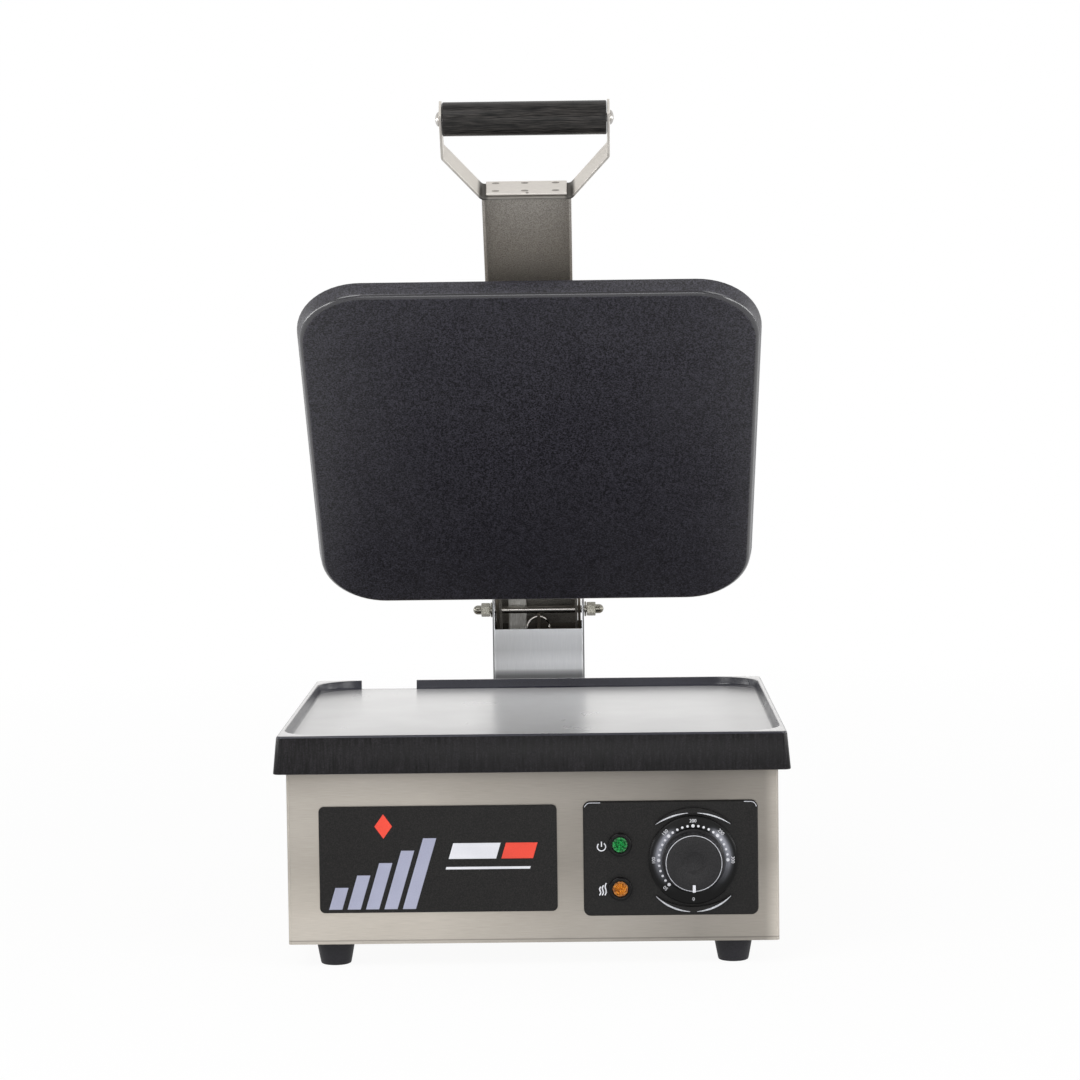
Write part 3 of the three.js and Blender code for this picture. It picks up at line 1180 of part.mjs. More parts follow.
function handleStrap() {
  const near = ARM_LENGTH + GAP + STRAP_SHEET * HALF_SHARE;
  const x = HANDLE_HALF_WIDTH - STRAP_SHEET * HALF_SHARE;
  const foot = ARM_WIDTH * HALF_SHARE;
  const route = [
    [-x, HANDLE_TIP_REACH],
    [-x, HANDLE_BEND_REACH],
    [-foot, near],
    [foot, near],
    [x, HANDLE_BEND_REACH],
    [x, HANDLE_TIP_REACH],
  ];
  const outline = bentStrip(route, STRAP_SHEET, STRAP_BEND);
  const strap = extrude(outline, STRAP_WIDTH, { curveSegments: 3 }).rotateX(Math.PI);
  const across = HANDLE_HALF_WIDTH + CUT;
  const bore = HANDLE_SCREW_RADIUS + GAP;
  return solid(strap.translate(0, 0, ARM_LOW + STRAP_WIDTH))
    .subtract(rod('x', -across, across, bore, [-GRIP_REACH, STRAP_MIDDLE]));
}

function weldPlate() {
  const near = ARM_LENGTH + 2 * GAP + STRAP_SHEET;
  const half = ARM_WIDTH * HALF_SHARE - ARM_SHEET - GAP;
  return block([-half, -near - WELD_PLATE_SHEET, ARM_LOW], [half, -near, ARM_LOW + STRAP_WIDTH]);
}

function handleGrip() {
  const half = HANDLE_HALF_WIDTH - STRAP_SHEET - GAP;
  const bore = HANDLE_SCREW_RADIUS + GAP;
  return solid(laid(turned([
    [bore, -half],
    [GRIP_RADIUS - GRIP_EDGE, -half],
    [GRIP_RADIUS, -half + GRIP_EDGE],
    [GRIP_RADIUS, half - GRIP_EDGE],
    [GRIP_RADIUS - GRIP_EDGE, half],
    [bore, half],
    [bore, -half],
  ], GRIP_SIDES), '+x')).translate([0, -GRIP_REACH, STRAP_MIDDLE]);
}

function handleScrew(side) {
  const head = [HANDLE_HEAD_RADIUS, HANDLE_HEAD_HEIGHT];
  const shape = screw(...head, HANDLE_SCREW_RADIUS, HANDLE_SCREW_LENGTH);
  return solid(laid(shape, side > 0 ? '-x' : '+x'))
    .translate([side * (HANDLE_HALF_WIDTH + GAP), -GRIP_REACH, STRAP_MIDDLE]);
}

function floatPin() {
  const half = ARM_WIDTH * HALF_SHARE + GAP;
  const end = half + FLOAT_PIN_HEAD;
  const at = [-PLATE_REACH, FLOAT_RAISE];
  return rod('x', -end, end, FLOAT_PIN_RADIUS, at)
    .add(rod('x', -end, -half, FLOAT_PIN_HEAD_RADIUS, at))
    .add(rod('x', half, end, FLOAT_PIN_HEAD_RADIUS, at));
}

// Upper plate pieces. Their group stands on the float pin
function upperPlate() {
  const [face, back] = [FACE_LEVEL - FLOAT_RAISE, BACK_LEVEL - FLOAT_RAISE];
  const inset = (margin) => (
    roundedRect(UPPER_WIDTH - 2 * margin, UPPER_DEPTH - 2 * margin, UPPER_CORNER - margin)
  );
  const edge = { bevelEnabled: true, bevelThickness: UPPER_EDGE, bevelSize: UPPER_EDGE, bevelSegments: 3 };
  const raw = extrude(inset(UPPER_EDGE), UPPER_THICKNESS - UPPER_EDGE, edge)
    .translate(0, 0, face + UPPER_EDGE);
  const above = block([-UPPER_WIDTH, -UPPER_DEPTH, back], [UPPER_WIDTH, UPPER_DEPTH, back + UPPER_THICKNESS]);
  return solid(flare(raw, back, face, -UPPER_FLARE))
    .subtract(above)
    .subtract(solid(extrude(inset(UPPER_RIM), UPPER_POCKET + CUT).translate(0, 0, back - UPPER_POCKET)));
}

function upperElementLevel() {
  return BACK_LEVEL - FLOAT_RAISE - UPPER_POCKET + GAP + ELEMENT_RADIUS;
}

function upperInsulation() {
  const bottom = upperElementLevel() + ELEMENT_RADIUS + GAP;
  const outline = roundedRect(UPPER_WIDTH - 2 * BLANKET_MARGIN, CLAMP_DEPTH, COVER_TOP_CORNER);
  return solid(extrude(outline, BLANKET_THICKNESS).translate(0, 0, bottom));
}

function upperCover() {
  const bottom = BACK_LEVEL - FLOAT_RAISE + GAP;
  const narrower = 2 * (COVER_INSET + COVER_HEIGHT);
  const outline = roundedRect(UPPER_WIDTH - narrower, UPPER_DEPTH - narrower, COVER_TOP_CORNER);
  const skirt = (lowered) => {
    const from = bottom - lowered;
    const raw = extrude(outline, COVER_HEIGHT).translate(0, 0, from);
    return solid(flare(raw, from + COVER_HEIGHT, from, COVER_HEIGHT));
  };
  const below = block(
    [-UPPER_WIDTH, -UPPER_DEPTH, bottom - COVER_HEIGHT],
    [UPPER_WIDTH, UPPER_DEPTH, bottom],
  );
  const hole = [
    SLEEVE_WIDTH * HALF_SHARE + SLEEVE_HOLE_MARGIN,
    SLEEVE_THICKNESS * HALF_SHARE + SLEEVE_HOLE_MARGIN,
  ];
  const entry = block(
    [SLEEVE_X - hole[0], PLATE_REACH - SLEEVE_ENTRY - hole[1], bottom + CUT],
    [SLEEVE_X + hole[0], PLATE_REACH - SLEEVE_ENTRY + hole[1], bottom + COVER_HEIGHT + CUT],
  );
  return skirt(0).subtract(skirt(SHEET * Math.SQRT2)).subtract(below).subtract(entry);
}

function floatBracket() {
  const outer = ARM_WIDTH * HALF_SHARE - ARM_SHEET - GAP;
  const inner = outer - BRACKET_SHEET;
  const [bottom, half] = [COVER_TOP_LEVEL - FLOAT_RAISE + GAP, BRACKET_LENGTH * HALF_SHARE];
  const hollow = block(
    [-inner, -half - CUT, bottom + BRACKET_SHEET],
    [inner, half + CUT, BRACKET_EAR_HEIGHT + CUT],
  );
  return block([-outer, -half, bottom], [outer, half, BRACKET_EAR_HEIGHT])
    .subtract(hollow)
    .subtract(rod('x', -outer - CUT, outer + CUT, FLOAT_PIN_RADIUS + GAP, [0, 0]));
}

// Assembly
function baseGroup() {
  const group = new THREE.Group();
  addFeet(group);
  group.add(
    part('base_shell', baseShell(), steel()),
    part('base_floor', baseFloor(), steel()),
    part('back_panel', backPanel(), steel()),
    part('lower_plate', lowerPlate(), castBlack()),
    part('lower_element', lowerElement(), darkSteel()),
    part('element_clamp_plate', clampPlate(), steel()),
    part('heat_shield', heatShield(), steel()),
    part('thermostat_body', thermostatBody(), blackPlastic()),
    part('thermostat_bulb', thermostatBulb(), brightSteel()),
    part('control_fascia', controlFascia(), blackPlastic()),
    part('dial_ring', dialRing(), blackPlastic()),
    part('lamp_bezel_power', lampBezel(LAMP_UPPER_Z), blackPlastic()),
    part('lamp_bezel_heat', lampBezel(LAMP_LOWER_Z), blackPlastic()),
    part('lamp_lens_power', lampLens(LAMP_UPPER_Z), greenLens()),
    part('lamp_lens_heat', lampLens(LAMP_LOWER_Z), amberLens()),
    part('badge_plate', badgePlate(), blackPlastic()),
    part('cable_gland', cableGland(), blackPlastic()),
    part('gland_lock_nut', glandLockNut(), blackPlastic()),
    part('terminal_block', terminalBlock(), whiteSleeve()),
    part('earth_stud', earthStud(), brightSteel()),
    part('hinge_post', hingePost(), steel()),
    part('stop_pin', stopPin(), brightSteel()),
    part('counterbalance_spring', counterbalanceSpring(), brightSteel()),
    part('spring_anchor', springAnchor(), steel()),
    part('wire_sleeve_lower', sleeveLower(), whiteSleeve()),
  );
  addPostBolts(group);
  addAxle(group);
  return group;
}

function knobGroup() {
  const group = new THREE.Group();
  group.add(part('knob', knob(), blackPlastic()), part('thermostat_shaft', thermostatShaft(), brightSteel()));
  return group;
}

function upperPlateGroup() {
  const group = new THREE.Group();
  group.add(
    part('upper_plate', upperPlate(), castBlack()),
    part('upper_element', heatingTube(upperElementLevel(), ELEMENT_DROP * HALF_SHARE), darkSteel()),
    part('upper_insulation', upperInsulation(), whiteSleeve()),
    part('upper_cover', upperCover(), steel()),
    part('float_bracket', floatBracket(), steel()),
  );
  group.position.set(0, -PLATE_REACH, FLOAT_RAISE);
  return group;
}

function lidGroup() {
  const group = new THREE.Group();
  group.add(
    part('arm_channel', armChannel(), steel()),
    part('hinge_side_plate_left', hingeSidePlate(-1), steel()),
    part('hinge_side_plate_right', hingeSidePlate(1), steel()),
    part('spring_hook', springHook(), steel()),
    part('wire_sleeve_upper', sleeveUpper(), whiteSleeve()),
    part('handle_strap', handleStrap(), steel()),
    part('handle_weld_plate', weldPlate(), steel()),
    part('handle_grip', handleGrip(), blackPlastic()),
    part('handle_screw_left', handleScrew(-1), brightSteel()),
    part('handle_screw_right', handleScrew(1), brightSteel()),
    part('float_pin', floatPin(), brightSteel()),
    upperPlateGroup(),
  );
  group.position.set(0, AXLE_Y, AXLE_Z);
  group.rotation.x = -THREE.MathUtils.degToRad(LID_OPEN_DEGREES);
  return group;
}

const sandwichMaker = new THREE.Group();
sandwichMaker.add(baseGroup(), knobGroup(), lidGroup());
sandwichMaker.position.y = -ORIGIN_Y;

export default sandwichMaker;
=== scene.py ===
import json
import math

import bmesh
import bpy
from mathutils import Matrix, Vector

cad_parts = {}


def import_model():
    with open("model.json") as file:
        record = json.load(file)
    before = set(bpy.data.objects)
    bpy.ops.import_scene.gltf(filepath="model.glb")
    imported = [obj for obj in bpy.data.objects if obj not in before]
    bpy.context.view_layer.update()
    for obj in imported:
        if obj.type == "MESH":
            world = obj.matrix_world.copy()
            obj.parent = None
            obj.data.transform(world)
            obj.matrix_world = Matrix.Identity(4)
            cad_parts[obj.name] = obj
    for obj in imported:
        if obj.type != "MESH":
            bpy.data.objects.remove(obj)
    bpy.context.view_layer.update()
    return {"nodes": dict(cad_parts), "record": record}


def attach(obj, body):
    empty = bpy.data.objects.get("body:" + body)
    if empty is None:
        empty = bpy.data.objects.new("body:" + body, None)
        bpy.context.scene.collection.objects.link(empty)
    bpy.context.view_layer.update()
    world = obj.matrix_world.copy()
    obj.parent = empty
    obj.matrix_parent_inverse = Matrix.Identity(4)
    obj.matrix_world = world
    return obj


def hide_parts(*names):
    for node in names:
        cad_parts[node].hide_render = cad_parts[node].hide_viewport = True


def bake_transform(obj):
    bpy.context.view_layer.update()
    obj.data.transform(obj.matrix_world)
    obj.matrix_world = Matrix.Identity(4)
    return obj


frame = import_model()

MM = 0.001
# Faces that meet at less than this many degrees shade as one surface
SMOOTH_ANGLE = 35

# Places and sizes in millimetres, Y from the front of the base box
ORIGIN_Y = 187.175
GAP = 0.3
PLATE_WIDTH = 290
PLATE_DEPTH = 292
PLATE_CENTRE_Y = 142
PLATE_BOTTOM = 112.4
PLATE_DRAFT = 2
RIM_TOP = 134.1
RIM_WIDTH = 3
RECESS_FLOOR = 128.4
PLATE_UNDERSIDE = 121.4
POST_FRONT = 325.1
POST_BOTTOM = 112.4
POST_WIDTH = 61
POST_DEPTH = 40
SHEET = 1.5
AXLE_Y = 339.2
AXLE_Z = 174.9
AXLE_RADIUS = 2.5
NUT_RADIUS = 4.62
STOP_Y = AXLE_Y - 8
STOP_Z = AXLE_Z - 22
DIAL_X = 91.1
DIAL_Z = 61.1
LAMP_X = 49.6
LAMP_UPPER_Z = 70.1
LAMP_LOWER_Z = 44.8
PANEL_FRONT = -2.7
DIAL_FRONT = -4.4
KNOB_BACK = -4.7
BADGE_FRONT = -1.3
BADGE_X = -53.9
BADGE_Z = 62.7
SPRING_Y = 347.94
SPRING_RADIUS = 7.8
SPRING_WIRE = 0.85

# Lid sizes in millimetres, from the axle
PLATE_REACH = 197.2
UPPER_WIDTH = 277
UPPER_DEPTH = 279
UPPER_CORNER = 40
FACE_LEVEL = -43.1
BACK_LEVEL = -32.6
EDGE_ROUND = 2.4
ARM_WIDTH = 52.2
STRAP_LOW = -4.8
STRAP_HIGH = 7.9
GRIP_REACH = 432
GRIP_LEVEL = 1.55
SLEEVE_LEVEL = 4.6

# Frames to draw in: the base's, and the lid's as the photograph has it open
LID_OPEN = math.radians(45.3)
ROW = Matrix.Translation((0, -ORIGIN_Y * MM, 0))
AXLE = Matrix.Translation((0, (AXLE_Y - ORIGIN_Y) * MM, AXLE_Z * MM))
LID = AXLE @ Matrix.Rotation(-LID_OPEN, 4, "X")


# Mesh helpers. Lengths given to them are millimetres
def make_mesh(name, verts, faces, smooth_angle=SMOOTH_ANGLE):
    mesh = bpy.data.meshes.new(name)
    mesh.from_pydata([Vector(v) * MM for v in verts], [], faces)
    work = bmesh.new()
    work.from_mesh(mesh)
    bmesh.ops.remove_doubles(work, verts=work.verts, dist=1e-7)
    bmesh.ops.recalc_face_normals(work, faces=work.faces)
    work.to_mesh(mesh)
    work.free()
    shade(mesh, smooth_angle)
    return mesh


def shade(mesh, smooth_angle):
    mesh.shade_smooth()
    mesh.set_sharp_from_angle(angle=math.radians(smooth_angle))


def piece(name, mesh, material, body, slot=None, replaces=(), where=ROW, bevel=0):
    obj = bpy.data.objects.new(name, mesh)
    bpy.context.scene.collection.objects.link(obj)
    obj.matrix_world = where
    mesh.materials.append(material)
    if bevel:
        soften(obj, bevel)
    if body:
        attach(obj, body)
    if replaces:
        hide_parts(*replaces)
    return obj


def shape(name, solid, *looks, smooth_angle=SMOOTH_ANGLE, **more):
    """A piece from vertices and faces."""
    return piece(name, make_mesh(name, *solid, smooth_angle), *looks, **more)


def soften(obj, width):
    bevel = obj.modifiers.new("soft_edges", "BEVEL")
    bevel.width = width * MM
    bevel.segments = 2
    bevel.limit_method = "ANGLE"
    bevel.angle_limit = math.radians(SMOOTH_ANGLE)
    bevel.harden_normals = False


def loft(rings, closed=True, caps=True):
    count = len(rings[0])
    verts = [point for ring in rings for point in ring]
    faces = []
    for i in range(len(rings) - 1):
        for k in range(count if closed else count - 1):
            n = (k + 1) % count
            a, b = i * count, (i + 1) * count
            faces.append((a + k, a + n, b + n, b + k))
    if caps:
        last = (len(rings) - 1) * count
        faces.append(tuple(range(count))[::-1])
        faces.append(tuple(last + k for k in range(count)))
    return verts, faces


def around(rings):
    """A closed surface through rings that follow each other round an axis."""
    return loft(rings + [rings[0]], closed=False, caps=False)


def circle(radius, sides):
    turns = [2 * math.pi * k / sides for k in range(sides)]
    return [(radius * math.cos(a), radius * math.sin(a)) for a in turns]


def arc(cx, cy, radius, start, end, steps):
    turns = [math.radians(start + (end - start) * k / steps) for k in range(steps + 1)]
    return [(cx + radius * math.cos(a), cy + radius * math.sin(a)) for a in turns]


def quarter(steps):
    return [math.radians(90 * step / steps) for step in range(steps + 1)]


def rounded_rect(width, depth, radius, steps=8):
    points = []
    corners = [(1, 1, 0), (-1, 1, 90), (-1, -1, 180), (1, -1, 270)]
    for sx, sy, start in corners:
        cx, cy = sx * (width / 2 - radius), sy * (depth / 2 - radius)
        points += arc(cx, cy, radius, start, start + 90, steps)
    return points


def turned(profile, axis, centre, sides=64):
    """A profile of radius and length turned round an axis."""
    cx, cy, cz = centre
    rings = []
    for c, s in circle(1, sides):
        ring = []
        for radius, along in profile:
            u, v = radius * c, radius * s
            if axis == "z":
                ring.append((cx + u, cy + v, cz + along))
            elif axis == "-y":
                ring.append((cx + u, cy - along, cz + v))
            elif axis == "+y":
                ring.append((cx - u, cy + along, cz + v))
            else:
                ring.append((cx + along, cy + u, cz + v))
        rings.append(ring)
    return around(rings)


def rod(radius, half, tip, edge):
    """The profile of a rod with broken edges."""
    side = half - edge
    return [(0, -half), (tip, -half), (radius, -side), (radius, side), (tip, half), (0, half)]


def heading(line, i):
    """The direction of a line at one of its points."""
    return (line[min(i + 1, len(line) - 1)] - line[max(i - 1, 0)]).normalized()


def merged(*parts):
    verts, faces = [], []
    for v, f in parts:
        base = len(verts)
        verts += list(v)
        faces += [tuple(i + base for i in face) for face in f]
    return verts, faces


def brick(low, high):
    (x0, y0, z0), (x1, y1, z1) = low, high
    ring = [(x0, y0), (x1, y0), (x1, y1), (x0, y1)]
    return loft([[(x, y, z) for x, y in ring] for z in (z0, z1)])


def cut(mesh, cutters):
    host = bpy.data.objects.new("host", mesh)
    bpy.context.scene.collection.objects.link(host)
    made = []
    for solid in cutters:
        tool = bpy.data.objects.new("tool", make_mesh("tool", *solid))
        bpy.context.scene.collection.objects.link(tool)
        step = host.modifiers.new("cut", "BOOLEAN")
        step.object = tool
        step.solver = "EXACT"
        made.append(tool)
    bpy.context.view_layer.update()
    graph = bpy.context.evaluated_depsgraph_get()
    result = bpy.data.meshes.new_from_object(host.evaluated_get(graph))
    for obj in [host] + made:
        bpy.data.objects.remove(obj, do_unlink=True)
    shade(result, SMOOTH_ANGLE)
    result.materials.clear()
    return result


# Shader helpers
def linear(colour):
    def one(c):
        c /= 255
        return c / 12.92 if c <= 0.04045 else ((c + 0.055) / 1.055) ** 2.4

    return tuple(one(c) for c in colour)


def start_material(name, colour, roughness, metallic=0.0, **inputs):
    material = bpy.data.materials.new(name)
    material.use_nodes = True
    shader = material.node_tree.nodes["Principled BSDF"]
    shader.inputs["Base Color"].default_value = (*linear(colour), 1)
    shader.inputs["Roughness"].default_value = roughness
    shader.inputs["Metallic"].default_value = metallic
    for key, value in inputs.items():
        shader.inputs[key.replace("_", " ")].default_value = value
    return material


def fill(tree, socket, value):
    if isinstance(value, bpy.types.NodeSocket):
        tree.links.new(value, socket)
    else:
        socket.default_value = value


def node(tree, kind, *values, operation=None, **inputs):
    """A shader node, with values or sockets put into its inputs by order or by name."""
    made = tree.nodes.new("ShaderNode" + kind)
    if operation:
        made.operation = operation
    for socket, value in zip(made.inputs, values):
        fill(tree, socket, value)
    for key, value in inputs.items():
        fill(tree, made.inputs[key.replace("_", " ")], value)
    return made


def place_in(material):
    return node(material.node_tree, "TexCoord").outputs["Object"]


def noise_field(material, scale, stretch=(1, 1, 1), detail=4.0, roughness=0.6, seed=0.0):
    """A noise over the object's own coordinates, with scale in features for each millimetre."""
    tree = material.node_tree
    start = seed, seed * 0.7, seed * 0.3
    size = tuple(s * scale / MM for s in stretch)
    mapping = node(tree, "Mapping", Vector=place_in(material), Location=start, Scale=size)
    noise = node(tree, "TexNoise", Vector=mapping.outputs["Vector"], Scale=1.0, Detail=detail,
                 Roughness=roughness)
    return noise.outputs["Fac"]


def ramp(material, source, low, high, start=0.3, end=0.7):
    made = node(material.node_tree, "MapRange", Value=source, From_Min=start, From_Max=end,
                To_Min=low, To_Max=high)
    return made.outputs["Result"]


def tint(material, source, dark, light, start=0.3, end=0.7):
    made = node(material.node_tree, "ValToRGB", Fac=source)
    for element, place, colour in zip(made.color_ramp.elements, (start, end), (dark, light)):
        element.position = place
        element.color = (*linear(colour), 1)
    return made.outputs["Color"]


def bands(material, source, stops):
    """Shades along a length, given as millimetres and grey levels."""
    low, high = stops[0][0], stops[-1][0]
    along = ramp(material, source, 0, 1, low * MM, high * MM)
    made = node(material.node_tree, "ValToRGB", Fac=along)
    elements = made.color_ramp.elements
    for index, (place, grey) in enumerate(stops):
        share = (place - low) / (high - low)
        if index == 0:
            element = elements[0]
        elif index == len(stops) - 1:
            element = elements[-1]
        else:
            element = elements.new(share)
        element.position = share
        element.color = (*linear((grey, grey, grey)), 1)
    return made.outputs["Color"]


def multiplied(material, first, second, share=1.0):
    tree = material.node_tree
    made = tree.nodes.new("ShaderNodeMix")
    made.data_type = "RGBA"
    made.blend_type = "MULTIPLY"
    for key, value in (("Factor", share), ("A", first), ("B", second)):
        fill(tree, made.inputs[key], value)
    return made.outputs["Result"]


def plug(material, socket, source):
    shader = material.node_tree.nodes["Principled BSDF"]
    material.node_tree.links.new(source, shader.inputs[socket])


def darken(material, colour, share=1.0):
    """Multiplies the material's colour by another."""
    shader = material.node_tree.nodes["Principled BSDF"]
    before = shader.inputs["Base Color"].links[0].from_socket
    plug(material, "Base Color", multiplied(material, before, colour, share))


def bump(material, source, strength, distance):
    made = node(material.node_tree, "Bump", Height=source, Strength=strength, Distance=distance * MM)
    plug(material, "Normal", made.outputs["Normal"])


def coordinate(material, axis):
    return node(material.node_tree, "SeparateXYZ", place_in(material)).outputs[axis]


def distance_from(material, x, z):
    """Distance from an axis that runs along Y."""
    tree = material.node_tree
    flat = node(tree, "VectorMath", place_in(material), (1, 0, 1), operation="MULTIPLY")
    centre = (x * MM, 0, z * MM)
    reach = node(tree, "VectorMath", flat.outputs["Vector"], centre, operation="DISTANCE")
    return reach.outputs["Value"]


def shaded(material, along, stops, share=1.0):
    """Paints light and shade: multiplies the material's colour by grey levels along an axis, or along
    another length.
    """
    source = coordinate(material, along) if isinstance(along, str) else along
    darken(material, bands(material, source, stops), share)


def within(material, low, high, start, end):
    """A share that goes from one value to another between two places along Y."""
    return ramp(material, coordinate(material, "Y"), low, high, start * MM, end * MM)


def brushed(name, dark, light, roughness, stretch, metallic=1.0):
    """Brushed sheet: fine lines along the axis that stretch leaves long, soft smudges over them."""
    material = start_material(name, light, roughness, metallic)
    lines = noise_field(material, 6.0, stretch, detail=3.0)
    smudge = noise_field(material, 0.012, (0.6, 0.6, 1.2), detail=2.0, seed=3.0)
    colour = tint(material, lines, dark, light, 0.25, 0.75)
    smudge_colour = tint(material, smudge, (232, 231, 229), (255, 255, 255))
    plug(material, "Base Color", multiplied(material, colour, smudge_colour))
    plug(material, "Roughness", ramp(material, lines, roughness - 0.06, roughness + 0.08))
    bump(material, lines, 0.35, 0.02)
    return material


def grainy(name, dark, light, roughness, grain, relief, metallic=0.0, spread=0.08, specks=None,
           **inputs):
    """Paint, cast metal or moulded plastic: fine grain in colour, roughness and relief."""
    material = start_material(name, dark, roughness, metallic, **inputs)
    fine = noise_field(material, grain, detail=3.0)
    broad = noise_field(material, 0.02, detail=2.0, seed=5.0)
    if specks:
        size, start, end = specks
        field = noise_field(material, size, detail=2.0, roughness=0.5, seed=11.0)
        plug(material, "Base Color", tint(material, field, dark, light, start, end))
    else:
        soft = tint(material, broad, (225, 225, 228), (255, 255, 255))
        colour = tint(material, fine, dark, light, 0.35, 0.75)
        plug(material, "Base Color", multiplied(material, colour, soft))
    plug(material, "Roughness", ramp(material, broad, roughness - spread / 2, roughness + spread / 2))
    bump(material, fine, 0.3, relief)
    return material


# Metals
CASE_STEEL = brushed("case_steel", (206, 199, 190), (232, 225, 215), 0.36, (0.015, 1, 1))
POST_STEEL = brushed("post_steel", (226, 229, 234), (246, 248, 252), 0.44, (1, 1, 0.02), 0.5)
LID_STEEL = brushed("lid_steel", (184, 178, 170), (206, 200, 192), 0.42, (1, 0.02, 1), 0.8)
STRAP_STEEL = brushed("strap_steel", (208, 204, 198), (230, 226, 220), 0.42, (0.03, 0.03, 1), 0.8)
SIDE_STEEL = brushed("hinge_side_steel", (168, 160, 148), (190, 182, 170), 0.4, (1, 0.05, 1), 0.8)
PAD_STEEL = brushed("pad_steel", (220, 216, 211), (244, 240, 235), 0.42, (0.05, 1, 1), 0.8)
ARM_STEEL = grainy("arm_steel", (136, 132, 127), (184, 180, 174), 0.52, 1.5, 0.03, 0.55,
                   specks=(1.5, 0.32, 0.68))
# Painted shade: a dark brown for the faces inside the post, which lie in shade
POST_INSIDE_SHADE = grainy("post_inside_painted_shade", (50, 45, 38), (74, 68, 58), 0.6, 1.6, 0.02, 0.3)
PLATED = grainy("plated_steel", (188, 185, 180), (210, 207, 202), 0.24, 2.0, 0.003, 1.0)
NUT_STEEL = grainy("nut_steel", (112, 110, 100), (176, 174, 164), 0.2, 1.1, 0.004, 1.0)
HEATER = grainy("heater_steel", (92, 90, 88), (120, 117, 112), 0.5, 1.0, 0.02, 1.0)
WELD_MARK = grainy("weld_mark", (150, 146, 140), (186, 181, 174), 0.5, 2.6, 0.02, 0.6)

# Cast iron under its dark coat
PLATE_IRON = grainy("plate_iron", (5, 4, 8), (64, 63, 72), 0.42, 1.4, 0.026, 0.0, 0.1,
                    specks=(1.2, 0.38, 0.69))
EDGE_IRON = grainy("edge_iron", (20, 19, 25), (40, 39, 46), 0.24, 1.6, 0.01, 0.0, 0.05,
                   Coat_Weight=0.8, Coat_Roughness=0.1, Specular_IOR_Level=0.5)
RIM_IRON = grainy("rim_iron", (20, 21, 33), (38, 39, 52), 0.3, 1.6, 0.01,
                  Coat_Weight=0.3, Coat_Roughness=0.2)
FLOOR_IRON = grainy("floor_iron", (54, 53, 59), (70, 69, 76), 0.3, 0.9, 0.006, 0.0, 0.06,
                    Coat_Weight=1.0, Coat_Roughness=0.24, Coat_IOR=1.75, Specular_IOR_Level=1.0,
                    Sheen_Weight=0.27, Sheen_Roughness=0.4)

# Plastics, rubber, fibre and inks
PANEL_BLACK = grainy("panel_black", (1, 1, 1), (28, 26, 25), 0.46, 3.4, 0.02,
                     specks=(1.7, 0.4, 0.72), Specular_IOR_Level=0.25)
KNOB_BLACK = grainy("knob_black", (3, 3, 4), (36, 35, 38), 0.4, 2.8, 0.03,
                    specks=(1.9, 0.4, 0.7), Specular_IOR_Level=0.3)
# A grey under the dial's painted reflection: its bands darken it to black except in a ring left and
# right of the knob
DIAL_BLACK = grainy("dial_black", (146, 148, 156), (172, 174, 184), 0.34, 3.0, 0.008, 0.1,
                    Specular_IOR_Level=0.2)
BEZEL_BLACK = grainy("bezel_black", (2, 2, 2), (8, 7, 7), 0.26, 3.0, 0.006, Specular_IOR_Level=0.2)
# Painted highlights: light lines laid on edges where they catch the light
PAINTED_HIGHLIGHT = grainy("painted_highlight", (164, 166, 171), (222, 224, 229), 0.3, 2.2, 0.01)
GRIP_BLACK = start_material("grip_black", (26, 25, 25), 0.36, Specular_IOR_Level=0.25)
RUBBER = grainy("foot_rubber", (20, 20, 24), (38, 37, 43), 0.58, 1.5, 0.02, Specular_IOR_Level=0.3)
TERMINAL = grainy("terminal_white", (222, 220, 212), (236, 234, 228), 0.45, 1.0, 0.01)
SLEEVE = start_material("sleeve_white", (236, 235, 230), 0.8)
WOOL = grainy("insulation_white", (206, 201, 190), (226, 222, 212), 0.9, 0.6, 0.3)
WHITE_INK = grainy("white_ink", (214, 215, 220), (232, 233, 238), 0.5, 3.0, 0.002)
LILAC_INK = grainy("lilac_ink", (148, 151, 172), (166, 169, 190), 0.5, 3.0, 0.002)
RED_INK = grainy("red_ink", (222, 56, 34), (240, 74, 48), 0.5, 3.0, 0.002)


def skirt_iron():
    """Painted iron with upright streaks."""
    material = grainy("skirt_iron", (8, 7, 9), (44, 41, 45), 0.44, 1.3, 0.03, 0.0, 0.1,
                      Specular_IOR_Level=0.2)
    lines = noise_field(material, 0.7, (1, 1, 0.04), detail=5.0, roughness=0.7, seed=9.0)
    darken(material, tint(material, lines, (70, 68, 72), (255, 255, 255), 0.38, 0.62))
    plug(material, "Roughness", ramp(material, lines, 0.26, 0.46))
    return material


def shade_case():
    """Painted light on the sheet: its front gets its own, and its sides and rear share one. Y is the
    frame's.
    """
    start, end = -186.6, -183
    front = within(CASE_STEEL, 1, 0, start, end)
    rest = within(CASE_STEEL, 0, 1, start, end)
    # Front: a painted reflection of the floor, lighter near the bottom, a painted dark line for the
    # shade in the bottom fold, and painted shade darker up under the plate
    shaded(CASE_STEEL, "Z", [
        (14, 222), (15.6, 222), (16.0, 150), (16.4, 230), (28, 232),
        (60, 203), (96, 200), (107, 186), (112, 165),
    ], front)
    # Front: painted light and shade across it, bright on the left and darker towards the right
    shaded(CASE_STEEL, "X", [
        (-140, 255), (-60, 246), (20, 212), (92, 181), (132, 200), (139, 255),
    ], front)
    # Sides and rear: a little darker towards the top, with the same painted dark line in the bottom
    # fold
    shaded(CASE_STEEL, "Z", [
        (14, 232), (15.6, 232), (16.0, 150), (16.4, 232), (40, 226), (112, 214),
    ], rest)


